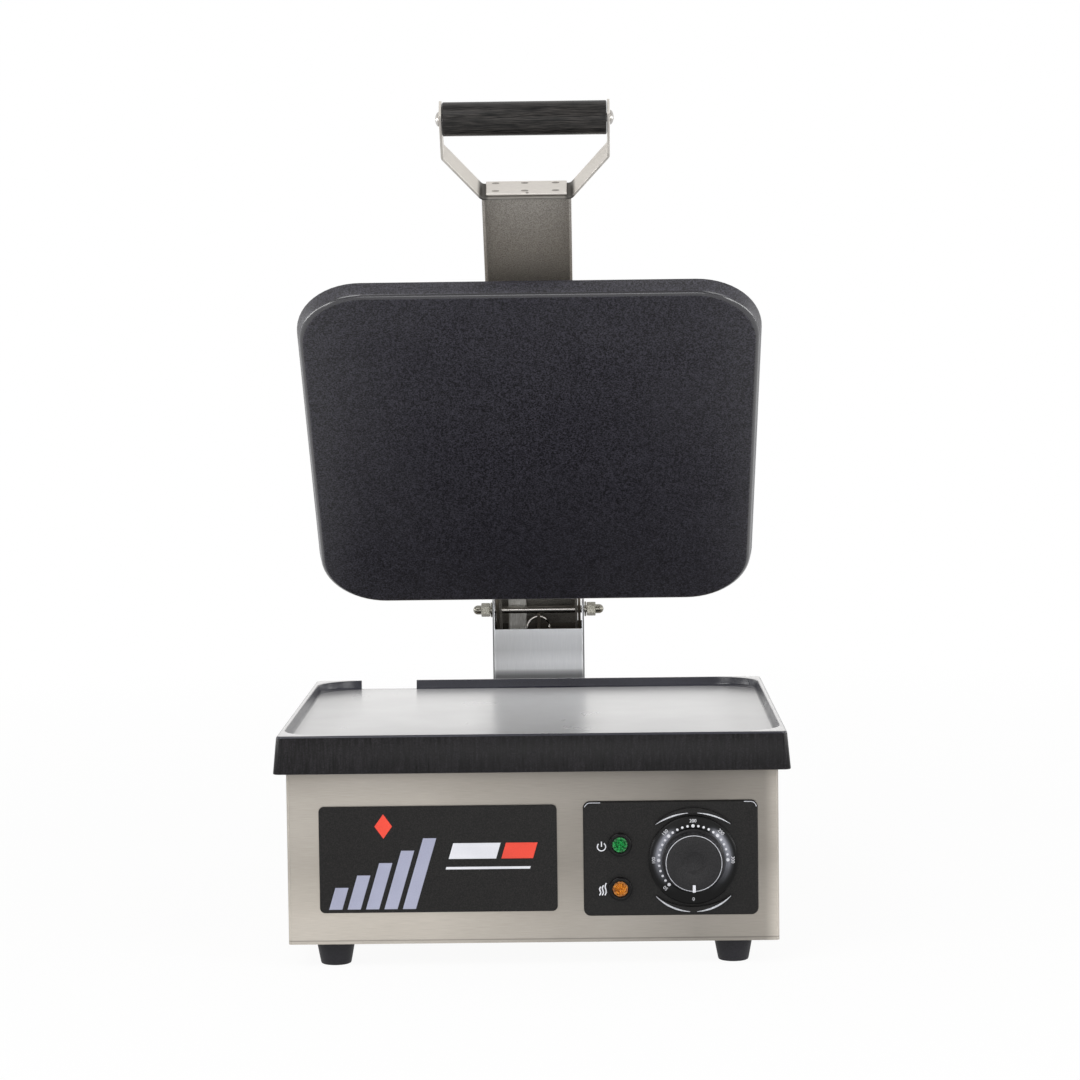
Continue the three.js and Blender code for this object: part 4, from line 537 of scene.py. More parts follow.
def shade_post():
    """Painted light on the web: a painted dark reflection along its foot, painted light bands above
    it, and painted shade along its two bends.
    """
    shaded(POST_STEEL, "Z", [
        (112, 134), (132, 134), (134.6, 178), (136.4, 230),
        (141, 232), (149, 206), (158, 217), (163, 232),
    ], within(POST_STEEL, 1, 0, POST_FRONT + 0.3, POST_FRONT + 1.1))
    shaded(POST_STEEL, "X", [
        (-30.5, 70), (-29.8, 80), (-29.3, 255), (29.3, 255), (29.8, 80), (30.5, 70),
    ], within(POST_STEEL, 1, 0, POST_FRONT + 1.5, POST_FRONT + 2.5))


def shade_dial():
    """A painted reflection on the black dial: a bright ring left and right, with dark sectors above
    and below the knob.
    """
    shaded(DIAL_BLACK, distance_from(DIAL_BLACK, DIAL_X, DIAL_Z), [
        (15, 20), (17.2, 110), (18.6, 240), (20.6, 255), (22.2, 130), (23.4, 30), (26, 8),
    ])
    across = [(-25, 255), (-14, 240), (-9, 60), (-4, 16), (4, 16), (9, 80), (13, 255), (25, 235)]
    upward = [(-20, 14), (-14, 50), (-6, 150), (3, 240), (14, 255), (19, 90), (23, 14)]
    shaded(DIAL_BLACK, "X", [(DIAL_X + place, grey) for place, grey in across])
    shaded(DIAL_BLACK, "Z", [(DIAL_Z + place, grey) for place, grey in upward])


def shade_strap():
    # Painted shade on the strap: darker behind the weld pad, darkest at the bends beside the pad's
    # ends
    half = [(22, 176), (23.7, 110), (27, 120), (28.6, 255), (49, 255)]
    left = [(-place, grey) for place, grey in half[::-1]]
    shaded(STRAP_STEEL, "X", left + half)


def streak_grip():
    lines = noise_field(GRIP_BLACK, 2.2, (0.04, 1, 1), detail=4.0)
    plug(GRIP_BLACK, "Base Color", tint(GRIP_BLACK, lines, (1, 1, 1), (58, 55, 53), 0.42, 0.7))
    plug(GRIP_BLACK, "Roughness", ramp(GRIP_BLACK, lines, 0.28, 0.45))
    bump(GRIP_BLACK, lines, 0.5, 0.08)


def weave_sleeve():
    lines = noise_field(SLEEVE, 2.5, (1, 0.08, 0.08), detail=2.0)
    plug(SLEEVE, "Base Color", tint(SLEEVE, lines, (214, 212, 206), (248, 247, 243), 0.35, 0.7))
    bump(SLEEVE, lines, 0.6, 0.1)


def lens(name, dark, light):
    material = start_material(name, light, 0.12, IOR=1.49, Transmission_Weight=0.25)
    cells = noise_field(material, 0.9, detail=1.0)
    plug(material, "Base Color", tint(material, cells, dark, light, 0.35, 0.65))
    return material


SKIRT_IRON = skirt_iron()
GREEN = lens("lens_green", (8, 70, 32), (40, 170, 84))
AMBER = lens("lens_amber", (140, 76, 16), (236, 150, 50))
shade_case()
shade_post()
shade_dial()
shade_strap()
streak_grip()
weave_sleeve()

SLOT_MATERIALS = {
    "case_steel": CASE_STEEL,
    "lid_steel": LID_STEEL,
    "plate_iron": PLATE_IRON,
    "plated_steel": PLATED,
    "heater_steel": HEATER,
    "panel_black": PANEL_BLACK,
    "knob_black": KNOB_BLACK,
    "grip_black": GRIP_BLACK,
    "foot_rubber": RUBBER,
    "lens_green": GREEN,
    "lens_amber": AMBER,
    "terminal_white": TERMINAL,
    "sleeve_white": SLEEVE,
    "insulation_white": WOOL,
}
NODE_MATERIALS = {
    "arm_channel": ARM_STEEL,
    "hinge_side_plate_left": SIDE_STEEL,
    "hinge_side_plate_right": SIDE_STEEL,
    "spring_hook": SIDE_STEEL,
    "float_pin": PLATED,
}
NODE_EDGES = {
    "back_panel": 0,
    "upper_cover": 1.2,
    "base_shell": 0.35,
    "thermostat_body": 1.0,
    "terminal_block": 0.8,
}


def dress_nodes():
    """Each node of the frame gets its slot's material and softened edges."""
    for entry in frame["record"]["subparts"]:
        name = entry["node"]
        obj = frame["nodes"][name]
        material = NODE_MATERIALS.get(name, SLOT_MATERIALS[entry["material_slot"]])
        if not obj.material_slots:
            obj.data.materials.append(material)
        for place in obj.material_slots:
            place.material = material
        weld = obj.modifiers.new("weld", "WELD")
        weld.merge_threshold = 0.002 * MM
        edge = NODE_EDGES.get(name, 0.25)
        if edge:
            soften(obj, edge)


# Base pieces
def lower_plate():
    def ring(inset, z, corner, flare=True):
        out = PLATE_DRAFT * (RIM_TOP - z) / (RIM_TOP - PLATE_BOTTOM) if flare else 0
        width = PLATE_WIDTH + 2 * (out - inset)
        depth = PLATE_DEPTH + 2 * (out - inset)
        return [(x, PLATE_CENTRE_Y + y, z) for x, y in rounded_rect(width, depth, corner, 10)]

    outer, inner, fillet = 1.1, 0.7, 1.8
    rings = [ring(7, PLATE_UNDERSIDE, 2, False), ring(7, PLATE_BOTTOM, 2, False)]
    rings += [ring(0.8, PLATE_BOTTOM, 3), ring(0.2, PLATE_BOTTOM + 0.25, 3)]
    rings.append(ring(0, PLATE_BOTTOM + 0.8, 3.2))
    for a in quarter(4):
        rings.append(ring(outer * (1 - math.cos(a)), RIM_TOP - outer + outer * math.sin(a), 3.4))
    for a in quarter(4):
        inset = RIM_WIDTH - inner * (1 - math.sin(a))
        rings.append(ring(inset, RIM_TOP - inner * (1 - math.cos(a)), 25 + inset, False))
    for a in quarter(4):
        inset = 3.9 + fillet * (1 - math.cos(a))
        rings.append(ring(inset, RECESS_FLOOR + fillet * (1 - math.sin(a)), 27, False))
    rings.append(ring(6.3, RECESS_FLOOR, 26.4, False))
    back = PLATE_CENTRE_Y + PLATE_DEPTH / 2
    notch = brick((-115.5, back - 5.5, RECESS_FLOOR), (-79.5, back + 4, RIM_TOP + 3))
    mesh = cut(make_mesh("plate_casting", *loft(rings)), [notch])
    piece("plate_casting", mesh, PLATE_IRON, "base", "plate_iron", ["lower_plate"])
    skirt, face_up, rim = 1, 2, 3
    for material in (SKIRT_IRON, FLOOR_IRON, RIM_IRON):
        mesh.materials.append(material)
    for face in mesh.polygons:
        level = face.center.z / MM
        x, y = abs(face.center.x / MM), abs(face.center.y / MM - PLATE_CENTRE_Y)
        if abs(face.normal.z) < 0.5 and level < RIM_TOP - 1:
            outside = x > PLATE_WIDTH / 2 - 2 or y > PLATE_DEPTH / 2 - 2
            face.material_index = skirt if outside else rim
        elif face.normal.z > 0.9 and (abs(level - RECESS_FLOOR) < 0.2 or level > RIM_TOP - 0.2):
            face.material_index = face_up
        elif level > RECESS_FLOOR:
            face.material_index = rim


def rubber_feet():
    profile = [(4.3, 0), (7.9, 0), (8.5, 0.3), (8.8, 1), (9.4, 4), (11.1, 13.2)]
    profile += [(10.9, 13.6), (10.6, 13.7), (2.3, 13.7), (2.3, 7), (4.3, 7), (4.3, 0)]
    for row, y in (("front", 18), ("rear", 357)):
        for side, x in (("left", -114.3), ("right", 114.3)):
            foot = turned(profile, "z", (x, y, 0), 48)
            place = f"{row}_{side}"
            shape(f"rubber_foot_{place}", foot, RUBBER, "base", "foot_rubber", [f"foot_{place}"])


def dial_face():
    profile = [(7, 0), (25.1, 0), (25.3, 0.2), (25.3, 0.6), (24.6, 1.35), (24.4, 1.4)]
    profile += [(18.6, 1.4), (18.3, 1.15), (7, 1.15), (7, 0)]
    disk = turned(profile, "-y", (DIAL_X, PANEL_FRONT - GAP, DIAL_Z), 128)
    shape("dial_face", disk, DIAL_BLACK, "base", "knob_black", ["dial_ring"])


def turning_knob():
    centre = (DIAL_X, KNOB_BACK, DIAL_Z)
    profile = [(3.3, 0), (17.5, 0), (17.8, 0.3), (17.8, 1), (16.9, 1.7), (16.5, 2.4), (16.5, 10.7)]
    profile += arc(15.6, 11.0, 0.9, 0, 90, 5)
    profile += [(7.0, 11.9), (6.2, 11.75), (5.2, 11.2), (3.6, 10.9), (0, 10.8)]
    profile += [(0, 8.3), (3.3, 8.3), (3.3, 0)]
    knob = turned(profile, "-y", centre, 96)
    shape("turning_knob", knob, KNOB_BLACK, "dial_knob", "knob_black", ["knob"])
    # A painted highlight along the knob's front rim
    line = [(15.6, 11.86), (15.75, 11.86), (15.95, 11.8), (15.95, 11.94), (15.6, 11.96)]
    line.append(line[0])
    shape("knob_rim_highlight", turned(line, "-y", centre, 96), PAINTED_HIGHLIGHT, "dial_knob")
    verts, faces = brick((-0.85, -12.25, -16.55), (0.85, -10.9, -12.3))
    verts = [(x + DIAL_X, y + KNOB_BACK, z + DIAL_Z) for x, y, z in verts]
    shape("knob_pointer", (verts, faces), WHITE_INK, "dial_knob", bevel=0.25)


def flat_marks(name, shapes, front, material, centre=(0, 0), thick=0.08):
    """Thin printed shapes on an upright face. Each shape is a list of x and z."""
    cx, cz = centre
    ends = front + 0.02, front - thick
    parts = []
    for outline in shapes:
        parts.append(loft([[(x + cx, y, z + cz) for x, z in outline] for y in ends]))
    shape(name, merged(*parts), material, "base")


def stroke(points, width):
    """The outline of a line of even width."""
    left, right = [], []
    for i, (x, z) in enumerate(points):
        ax, az = points[max(i - 1, 0)]
        bx, bz = points[min(i + 1, len(points) - 1)]
        length = math.hypot(bx - ax, bz - az)
        nx, nz = -(bz - az) / length * width / 2, (bx - ax) / length * width / 2
        left.append((x + nx, z + nz))
        right.append((x - nx, z - nz))
    return left + right[::-1]


def dial_place(number, radius):
    """Fifty degrees of heat take an eighth of a turn, clockwise from below the pointer."""
    turn = math.radians(number / 50 * 45)
    return -radius * math.sin(turn), -radius * math.cos(turn)


def flat_text(words, size):
    """Vertices and faces of a thin word in the XY plane, with its middle at zero."""
    data = bpy.data.curves.new("words", "FONT")
    data.body = words
    data.size = size
    data.align_x = "CENTER"
    data.align_y = "CENTER"
    data.extrude = 0.04
    text = bpy.data.objects.new("words", data)
    bpy.context.scene.collection.objects.link(text)
    bpy.context.view_layer.update()
    graph = bpy.context.evaluated_depsgraph_get()
    flat = bpy.data.meshes.new_from_object(text.evaluated_get(graph))
    bpy.data.objects.remove(text, do_unlink=True)
    faces = [tuple(face.vertices) for face in flat.polygons]
    return [tuple(vert.co) for vert in flat.vertices], faces


def dial_scale():
    dots = []
    for number in range(50, 301, 10):
        x, z = dial_place(number, 19.6)
        radius = 0.98 if number % 50 == 0 else 0.72
        dots.append([(x + u, z + v) for u, v in circle(radius, 14)])
    flat_marks("dial_dots", dots, DIAL_FRONT, WHITE_INK, (DIAL_X, DIAL_Z))
    numbers = []
    for number in range(0, 301, 50):
        x, z = dial_place(number, 22.4)
        turn = math.radians(number / 50 * 45 - 180) if number else 0
        c, s = math.cos(turn), math.sin(turn)
        flat, faces = flat_text(str(number), 2.7)
        verts = []
        for u, v, thick in flat:
            across, upward = x + u * c + v * s, z + v * c - u * s
            verts.append((DIAL_X + across, DIAL_FRONT - 0.02 - thick, DIAL_Z + upward))
        numbers.append((verts, faces))
    shape("dial_numbers", merged(*numbers), WHITE_INK, "base")


def moulded_lines():
    """Painted highlights along the edges of the two crescents beside the dial, and at the panel's
    upper corners.
    """
    def line(radius, centre, start, end, width):
        points = arc(0, centre, radius, start, end, 30)
        left, right = [], []
        for i, (x, z) in enumerate(points):
            share = width / 2 * (0.25 + 0.75 * math.sin(math.pi * i / 30))
            nx, nz = x / radius, (z - centre) / radius
            left.append((x + nx * share, z + nz * share))
            right.append((x - nx * share, z - nz * share))
        return left + right[::-1]

    half, rise, crown = 21.5, 6.7, 27
    inner = (half ** 2 + rise ** 2) / (2 * rise)
    middle = crown - inner
    lines = [line(inner, middle, 94, 124, 0.8), line(inner, middle, 56, 86, 0.8)]
    lines += [line(29.6, 0, 224, 266, 1.0), line(29.6, 0, 274, 316, 1.0)]
    left, right, top, corner = 28.75 + 0.9, 128.05 - 0.9, 94.85 - 0.75, 3.2
    ends = [
        arc(left + corner, top - corner, corner, 165, 90, 8) + [(left + 9, top)],
        [(right - 7, top)] + arc(right - corner, top - corner, corner, 90, 5, 8),
    ]
    ends = [stroke(end, 0.4) for end in ends]
    flat_marks("fascia_edge_highlight", ends, PANEL_FRONT, PAINTED_HIGHLIGHT, thick=0.04)
    flat_marks("crescent_edge_highlights", lines, -4.3, PAINTED_HIGHLIGHT, (DIAL_X, DIAL_Z), 0.06)


def panel_signs():
    turns = [math.radians(a) for a in range(38, 323, 12)]
    ring = [(2.35 * math.sin(a), -0.2 + 2.35 * math.cos(a)) for a in turns]
    power = [stroke(ring, 0.62), stroke([(0, -0.1), (0, 2.7)], 0.62)]
    flat_marks("power_sign", power, PANEL_FRONT, WHITE_INK, (39.1, 69.2))
    waves = []
    for shift, tall in ((-1.6, 4.9), (-0.1, 5.7), (1.5, 7.0)):
        line = []
        for t in range(13):
            sway = shift + 0.5 * math.sin(t / 12 * 2 * math.pi) + 0.9 * (t / 12 - 0.5)
            line.append((sway, -3.4 + tall * t / 12))
        waves.append(stroke(line, 0.72))
    flat_marks("heat_sign", waves, PANEL_FRONT, WHITE_INK, (39.7, 44.6))


def badge_design():
    """Plain bars and a lozenge in grey, white and red."""
    lean = 0.3

    def bar(x, width, low, high):
        left, right = x + lean * low, x + width + lean * low
        return [(left, low), (right, low), (x + width + lean * high, high), (x + lean * high, high)]

    steps = [bar(-54 + 10.5 * k, 7.5, -28.5, -16 + 7 * k) for k in range(5)]
    light = [bar(6, 27, 0, 9), bar(6, 48, -6, -4.6)]
    red = [bar(36, 18, 0, 9), [(-36, 19), (-31, 26), (-26, 19), (-31, 12)]]
    for name, bars, ink in (("badge_bars", steps, LILAC_INK), ("badge_light_bar", light, WHITE_INK),
                            ("badge_red_bar", red, RED_INK)):
        flat_marks(name, bars, BADGE_FRONT, ink, (BADGE_X, BADGE_Z))


def hinge_post():
    front, back, top = POST_FRONT, POST_FRONT + POST_DEPTH, AXLE_Z + 13
    middle, corner = (front + back) / 2, 12

    def ring(z, inset, radius):
        outline = rounded_rect(POST_WIDTH - 2 * inset, POST_DEPTH - 2 * inset, radius, 6)
        return [(x, middle + y, z) for x, y in outline]

    def bore(y, z, radius):
        return turned([(0, -35), (radius, -35), (radius, 35), (0, 35)], "x", (0, y, z), 32)

    box = loft([ring(POST_BOTTOM, 0, 2.6), ring(top, 0, 2.6)])
    web_top, rear_top = AXLE_Z - 11.9, AXLE_Z - 9.9
    cutters = [
        loft([ring(105, SHEET, 1.1), ring(top + 5, SHEET, 1.1)]),
        brick((-29, front - 3, web_top), (29, front + 6, top + 5)),
        brick((-29, back - 6, rear_top), (29, back + 3, top + 5)),
        bore(AXLE_Y, AXLE_Z, 2.8),
        bore(STOP_Y, STOP_Z, 2.7),
    ]
    for side, way, start in ((front, 1, 180), (back, -1, 0)):
        near, away = side + way * corner, side - way * 3
        outline = arc(near, top - corner, corner, start, 90, 10)
        outline += [(near, top + 3), (away, top + 3), (away, top - corner)]
        cutters.append(loft([[(x, y, z) for y, z in outline] for x in (-35, 35)]))
    mesh = cut(make_mesh("post_sheet", *box), cutters)
    piece("post_sheet", mesh, POST_STEEL, "base", "case_steel", ["hinge_post"], bevel=0.3)
    mesh.materials.append(POST_INSIDE_SHADE)
    # Faces inside the post get the painted shade
    for face in mesh.polygons:
        x, y = abs(face.center.x) / MM, face.center.y / MM
        face.material_index = 1 if x < 29.3 and front + 1.2 < y < back - 1.2 else 0
    for side, name in ((-1, "left"), (1, "right")):
        inner, outer = sorted((side * 30.45, side * 45.5))
        flange = brick((inner, front + SHEET, POST_BOTTOM), (outer, back, POST_BOTTOM + SHEET))
        shape(f"post_foot_{name}", flange, POST_STEEL, "base", bevel=0.3)


def post_bolts():
    profile = [(0, 115.8), (1.7, 115.8), (1.7, 117.2), (2.0, 117.4), (2.8, 117.2), (3.8, 116.5)]
    profile += [(4.35, 115.2), (4.4, 114.2), (2.5, 114.2), (2.5, 102.2), (0, 102.2), (0, 115.8)]
    for row, y in (("front", 334.1), ("rear", 356.1)):
        for side, x in (("left", -38), ("right", 38)):
            bolt = turned(profile, "z", (x, y, 0), 32)
            place = f"{row}_{side}"
            shape(f"bolt_head_{place}", bolt, PLATED, "base", "plated_steel", [f"post_bolt_{place}"])


def axle():
    centre = (0, AXLE_Y, AXLE_Z)
    bar = turned(rod(AXLE_RADIUS, 40, 2.3, 0.2), "x", centre, 48)
    shape("axle_bar", bar, PLATED, "base", "plated_steel", ["axle_rod"])
    pin = turned(rod(AXLE_RADIUS, 30.5, 2.4, 0.1), "x", (0, STOP_Y, STOP_Z), 40)
    shape("stop_bar", pin, PLATED, "base", "plated_steel", ["stop_pin"])
    washer = [(2.8, 30.8), (4.7, 30.8), (5, 31.0), (5, 31.8), (4.7, 32), (2.8, 32), (2.8, 30.8)]
    dome = [(0, 37.9), (3.1, 37.9), (3.1, 40.5)] + arc(0, 40.5, 3.1, 15, 90, 5)
    for side, name in ((-1, "left"), (1, "right")):
        disk = turned([(r, side * x) for r, x in washer], "x", centre, 48)
        shape(f"flat_washer_{name}", disk, NUT_STEEL, "base", "plated_steel", [f"axle_washer_{name}"])
        rings = []
        for x, radius in ((32.3, 4.25), (32.7, NUT_RADIUS), (37.8, NUT_RADIUS), (38.2, 4.25)):
            rings.append([(side * x, AXLE_Y + v, AXLE_Z + u) for u, v in circle(radius, 6)])
        cap = turned([(r, side * x) for r, x in dome], "x", centre, 40)
        nut = merged(loft(rings), cap)
        shape(f"domed_nut_{name}", nut, NUT_STEEL, "base", "plated_steel", [f"axle_nut_{name}"])


def gland():
    """A cable gland: collar, threaded tail and a grooved dome nut."""
    centre = cx, cy, cz = -92, 375.3, 44
    collar = [(4, 0), (10.2, 0), (10.5, 0.3), (10.5, 3.7), (10.2, 4), (4, 4), (4, 0)]
    tail = [(4, -9), (7.3, -9), (7.6, -8.7), (7.6, 0), (4, 0), (4, -9)]
    dome = [(4, 4), (9, 4), (9, 12), (8.6, 13.2), (7.6, 15.4), (7, 15.9), (4.6, 16), (4, 15.4)]
    rings = []
    for k, (c, s) in enumerate(circle(1, 72)):
        groove = 0.95 if k % 4 >= 2 else 1.0
        ring = []
        for radius, along in dome:
            reach = radius * groove if radius > 8 and along > 4.1 else radius
            ring.append((cx - reach * c, cy + along, cz + reach * s))
        rings.append(ring + [ring[0]])
    solid = merged(turned(collar, "+y", centre, 64), turned(tail, "+y", centre, 48), around(rings))
    shape("gland_nut", solid, KNOB_BLACK, "base", "knob_black", ["cable_gland"])


def lamps():
    cup = [(4.55, -10), (5.2, -10), (5.2, 0.0), (6.7, 0.0), (6.7, 1.1), (6.5, 1.6), (6.0, 1.9)]
    cup += [(5.2, 1.9), (4.7, 1.7), (4.55, 1.2), (4.55, -10)]
    for name, z, look, slot in (("power", LAMP_UPPER_Z, GREEN, "lens_green"),
                                ("heat", LAMP_LOWER_Z, AMBER, "lens_amber")):
        centre = (LAMP_X, PANEL_FRONT - GAP, z)
        bezel = turned(cup, "-y", centre, 64)
        shape(f"bezel_{name}", bezel, BEZEL_BLACK, "base", "panel_black", [f"lamp_bezel_{name}"])
        glass = pyramid_lens(centre)
        shape(f"glass_{name}", glass, look, "base", slot, [f"lamp_lens_{name}"], smooth_angle=5)


def pyramid_lens(centre):
    """A lens with rows of small pyramids on its face."""
    cx, cy, cz = centre
    radius, size, low, tip = 4.25, 1.3, 0.55, 1.25
    half = size / 2
    parts = [turned([(0, -9), (radius, -9), (radius, 0.6), (0, 0.6)], "-y", centre, 40)]
    for i in range(-4, 5):
        for j in range(-4, 5):
            x, z = i * size, j * size
            if math.hypot(x, z) > radius - half * 1.25:
                continue
            corners = [(-half, -half), (half, -half), (half, half), (-half, half)]
            points = [(cx + x + u, cy - low, cz + z + v) for u, v in corners]
            points.append((cx + x, cy - tip, cz + z))
            parts.append((points, [(0, 1, 2, 3), (0, 1, 4), (1, 2, 4), (2, 3, 4), (3, 0, 4)]))
    return merged(*parts)


# Lid pieces, in the lid's own frame: minus y runs along the arm to the handle
def upper_plate():
    def ring(inset, level):
        flare = PLATE_DRAFT * (BACK_LEVEL - level) / (BACK_LEVEL - FACE_LEVEL)
        width = UPPER_WIDTH - 2 * (flare + inset)
        depth = UPPER_DEPTH - 2 * (flare + inset)
        outline = rounded_rect(width, depth, UPPER_CORNER - inset, 14)
        return [(x, y - PLATE_REACH, level) for x, y in outline]

    rings = [ring(EDGE_ROUND + 0.5, FACE_LEVEL)]
    for a in quarter(8):
        level = FACE_LEVEL + EDGE_ROUND * (1 - math.cos(a))
        rings.append(ring(EDGE_ROUND * (1 - math.sin(a)), level))
    rings += [ring(0, BACK_LEVEL - 0.7), ring(0.2, BACK_LEVEL - 0.2), ring(0.7, BACK_LEVEL)]
    rings += [ring(10, BACK_LEVEL), ring(10.4, BACK_LEVEL - 4)]
    mesh = make_mesh("upper_casting", *loft(rings))
    piece("upper_casting", mesh, PLATE_IRON, "plate", "plate_iron", ["upper_plate"], LID)
    mesh.materials.append(EDGE_IRON)
    for face in mesh.polygons:
        height = face.center.z / MM - FACE_LEVEL
        face.material_index = 1 if 0.05 < height < EDGE_ROUND - 0.4 else 0


def bent_line(corners, radius):
    """A line with rounded corners."""
    steps = 6
    points = [Vector(corners[0])]
    for before, corner, after in zip(corners, corners[1:], corners[2:]):
        corner = Vector(corner)
        back = (Vector(before) - corner).normalized()
        ahead = (Vector(after) - corner).normalized()
        half = back.angle(ahead) / 2
        reach = radius / math.tan(half)
        centre = corner + (back + ahead).normalized() * radius / math.sin(half)
        start, end = corner + back * reach - centre, corner + ahead * reach - centre
        for k in range(steps + 1):
            points.append(centre + start.slerp(end, k / steps).normalized() * radius)
    points.append(Vector(corners[-1]))
    return points


def strap():
    side, near, bend, tip = 47.95, 375.75, 407.5, 440.3
    foot = ARM_WIDTH / 2
    corners = [(-side, tip), (-side, bend), (-foot, near), (foot, near), (side, bend), (side, tip)]
    line = bent_line(corners, 3.4)
    rings = []
    for i, point in enumerate(line):
        ahead = heading(line, i)
        across = Vector((-ahead.y, ahead.x)) * SHEET / 2
        a, b = point + across, point - across
        section = [(a, STRAP_LOW), (a, STRAP_HIGH), (b, STRAP_HIGH), (b, STRAP_LOW)]
        rings.append([(place.x, -place.y, level) for place, level in section])
    shape("strap_bow", loft(rings), STRAP_STEEL, "lid", "lid_steel", ["handle_strap"], LID, bevel=0.2)


def weld_plate():
    half, near, far = 23.6, 376.8, 378.3
    slab = brick((-half, -far, STRAP_LOW + 1.6), (half, -near, STRAP_HIGH))
    shape("weld_pad", slab, PAD_STEEL, "lid", "lid_steel", ["handle_weld_plate"], LID, bevel=0.45)
    marks = [(x, n, 2.2) for x in (-18, -1, 17) for n in (6.0, -0.6)] + [(0.4, -2.4, 0.9)]
    parts = []
    for x, n, wide in marks:
        oval = [(x + u * wide, n + v * 0.7) for u, v in circle(1, 24)]
        parts.append(loft([[(u, -y, v) for u, v in oval] for y in (far - 0.05, far + 0.07)]))
    shape("weld_marks", merged(*parts), WELD_MARK, "lid", where=LID)


def handle_screws():
    dome = [(0, 51.0), (1.2, 50.95), (2.4, 50.65), (3.4, 50.15), (4.0, 49.6), (4.2, 49.2)]
    dome += [(4.1, 49.0), (2.5, 49.0), (2.5, 27.0), (0, 27.0)]
    for side, name in ((-1, "left"), (1, "right")):
        screw = turned([(r, side * x) for r, x in dome], "x", (0, -GRIP_REACH, GRIP_LEVEL), 40)
        solids = [f"handle_screw_{name}"]
        shape(f"domed_screw_{name}", screw, PLATED, "lid", "plated_steel", solids, LID)


def grip():
    half, edge = 46.9, 0.8
    profile = [(2.8, -half), (9.0, -half)] + arc(8.9, edge - half, edge, -90, 0, 4)
    profile += arc(8.9, half - edge, edge, 0, 90, 4) + [(9.0, half), (2.8, half), (2.8, -half)]
    bar = turned(profile, "x", (0, -GRIP_REACH, GRIP_LEVEL), 64)
    shape("grip_bar", bar, GRIP_BLACK, "lid", "grip_black", ["handle_grip"], LID)


# Pieces that reach from the base to the lid, attached to neither body
def spring_wire():
    curls, steps, sides = 26, 20, 10
    bottom, top = 62, 159.9
    pitch = (top - bottom) / curls

    def hook(end, way):
        run = []
        for degrees in range(5, 170, 5):
            turn = math.radians(degrees)
            share = min(1, degrees / 50)
            tilt = share * math.pi / 2
            x, out = SPRING_RADIUS * math.cos(turn), SPRING_RADIUS * math.sin(turn)
            rise = out * math.sin(tilt) + 1.8 * share
            run.append(Vector((x, way * out * math.cos(tilt), end + way * rise)))
        run.append(run[-1] + (run[-1] - run[-2]).normalized() * 1.7)
        return run

    points = hook(bottom, -1)[::-1]
    for step in range(curls * steps + 1):
        turn = step / steps
        a = turn * 2 * math.pi
        x, y = SPRING_RADIUS * math.cos(a), SPRING_RADIUS * math.sin(a)
        points.append(Vector((x, y, bottom + turn * pitch)))
    points += hook(top, 1)
    verts, faces = sweep(points, SPRING_WIRE, sides)
    solid = [(x, y + SPRING_Y, z) for x, y, z in verts], faces
    obj = shape("pull_spring", solid, PLATED, None, "plated_steel", ["counterbalance_spring"])
    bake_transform(obj)


def sweep(points, radius, sides):
    """A round wire along points."""
    normal = Vector((0, 0, 1)).cross(heading(points, 0)).normalized()
    rings = []
    for i, point in enumerate(points):
        ahead = heading(points, i)
        normal = (normal - ahead * normal.dot(ahead)).normalized()
        across = ahead.cross(normal)
        rings.append([tuple(point + normal * u + across * v) for u, v in circle(radius, sides)])
    return loft(rings)


def wire_sleeve():
    """One flat sleeve from the terminals, up through the post and along the arm."""
    def lid_point(y, n):
        c, s = math.cos(-LID_OPEN), math.sin(-LID_OPEN)
        return Vector((0, AXLE_Y + y * c - n * s, AXLE_Z + y * s + n * c))

    level, bend, radius, rise = 17.0, 345, 8.4, 118
    route = [Vector((0, 322.3, level)), Vector((0, bend, level))]
    route += [Vector((0, bend + y, level + z)) for y, z in arc(0, radius, radius, -90, 0, 8)]
    upright, start = bend + radius, level + radius
    route += [Vector((0, upright, start + rise * k / 12)) for k in range(1, 13)]
    p0, p3 = route[-1], lid_point(14, SLEEVE_LEVEL)
    p1, p2 = p0 + Vector((0, 0.6, 9)), p3 - (lid_point(0, 0) - lid_point(14, 0)).normalized() * 9
    for k in range(1, 13):
        t = k / 12
        a, b, c, d = (1 - t) ** 3, 3 * t * (1 - t) ** 2, 3 * t * t * (1 - t), t ** 3
        route.append(p0 * a + p1 * b + p2 * c + p3 * d)
    route += [lid_point(14 - 124 * k / 14, SLEEVE_LEVEL) for k in range(1, 15)]
    route += [lid_point(y, n) for y, n in arc(-110, -3.4, 8, 90, 180, 8)]
    route.append(lid_point(-118, -17.3))
    rings = []
    for i, point in enumerate(route):
        up = Vector((1, 0, 0)).cross(heading(route, i))
        shift = -15.6 + 1.4 * min(1, max(0, point.z - 140) / 24)
        ring = []
        for x, v in rounded_rect(12.2, 2.4, 1.125, 4):
            ring.append(tuple(point + Vector((x + shift, 0, 0)) + up * v))
        rings.append(ring)
    solids = ["wire_sleeve_lower", "wire_sleeve_upper"]
    obj = shape("woven_sleeve", loft(rings), SLEEVE, None, "sleeve_white", solids)
    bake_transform(obj)


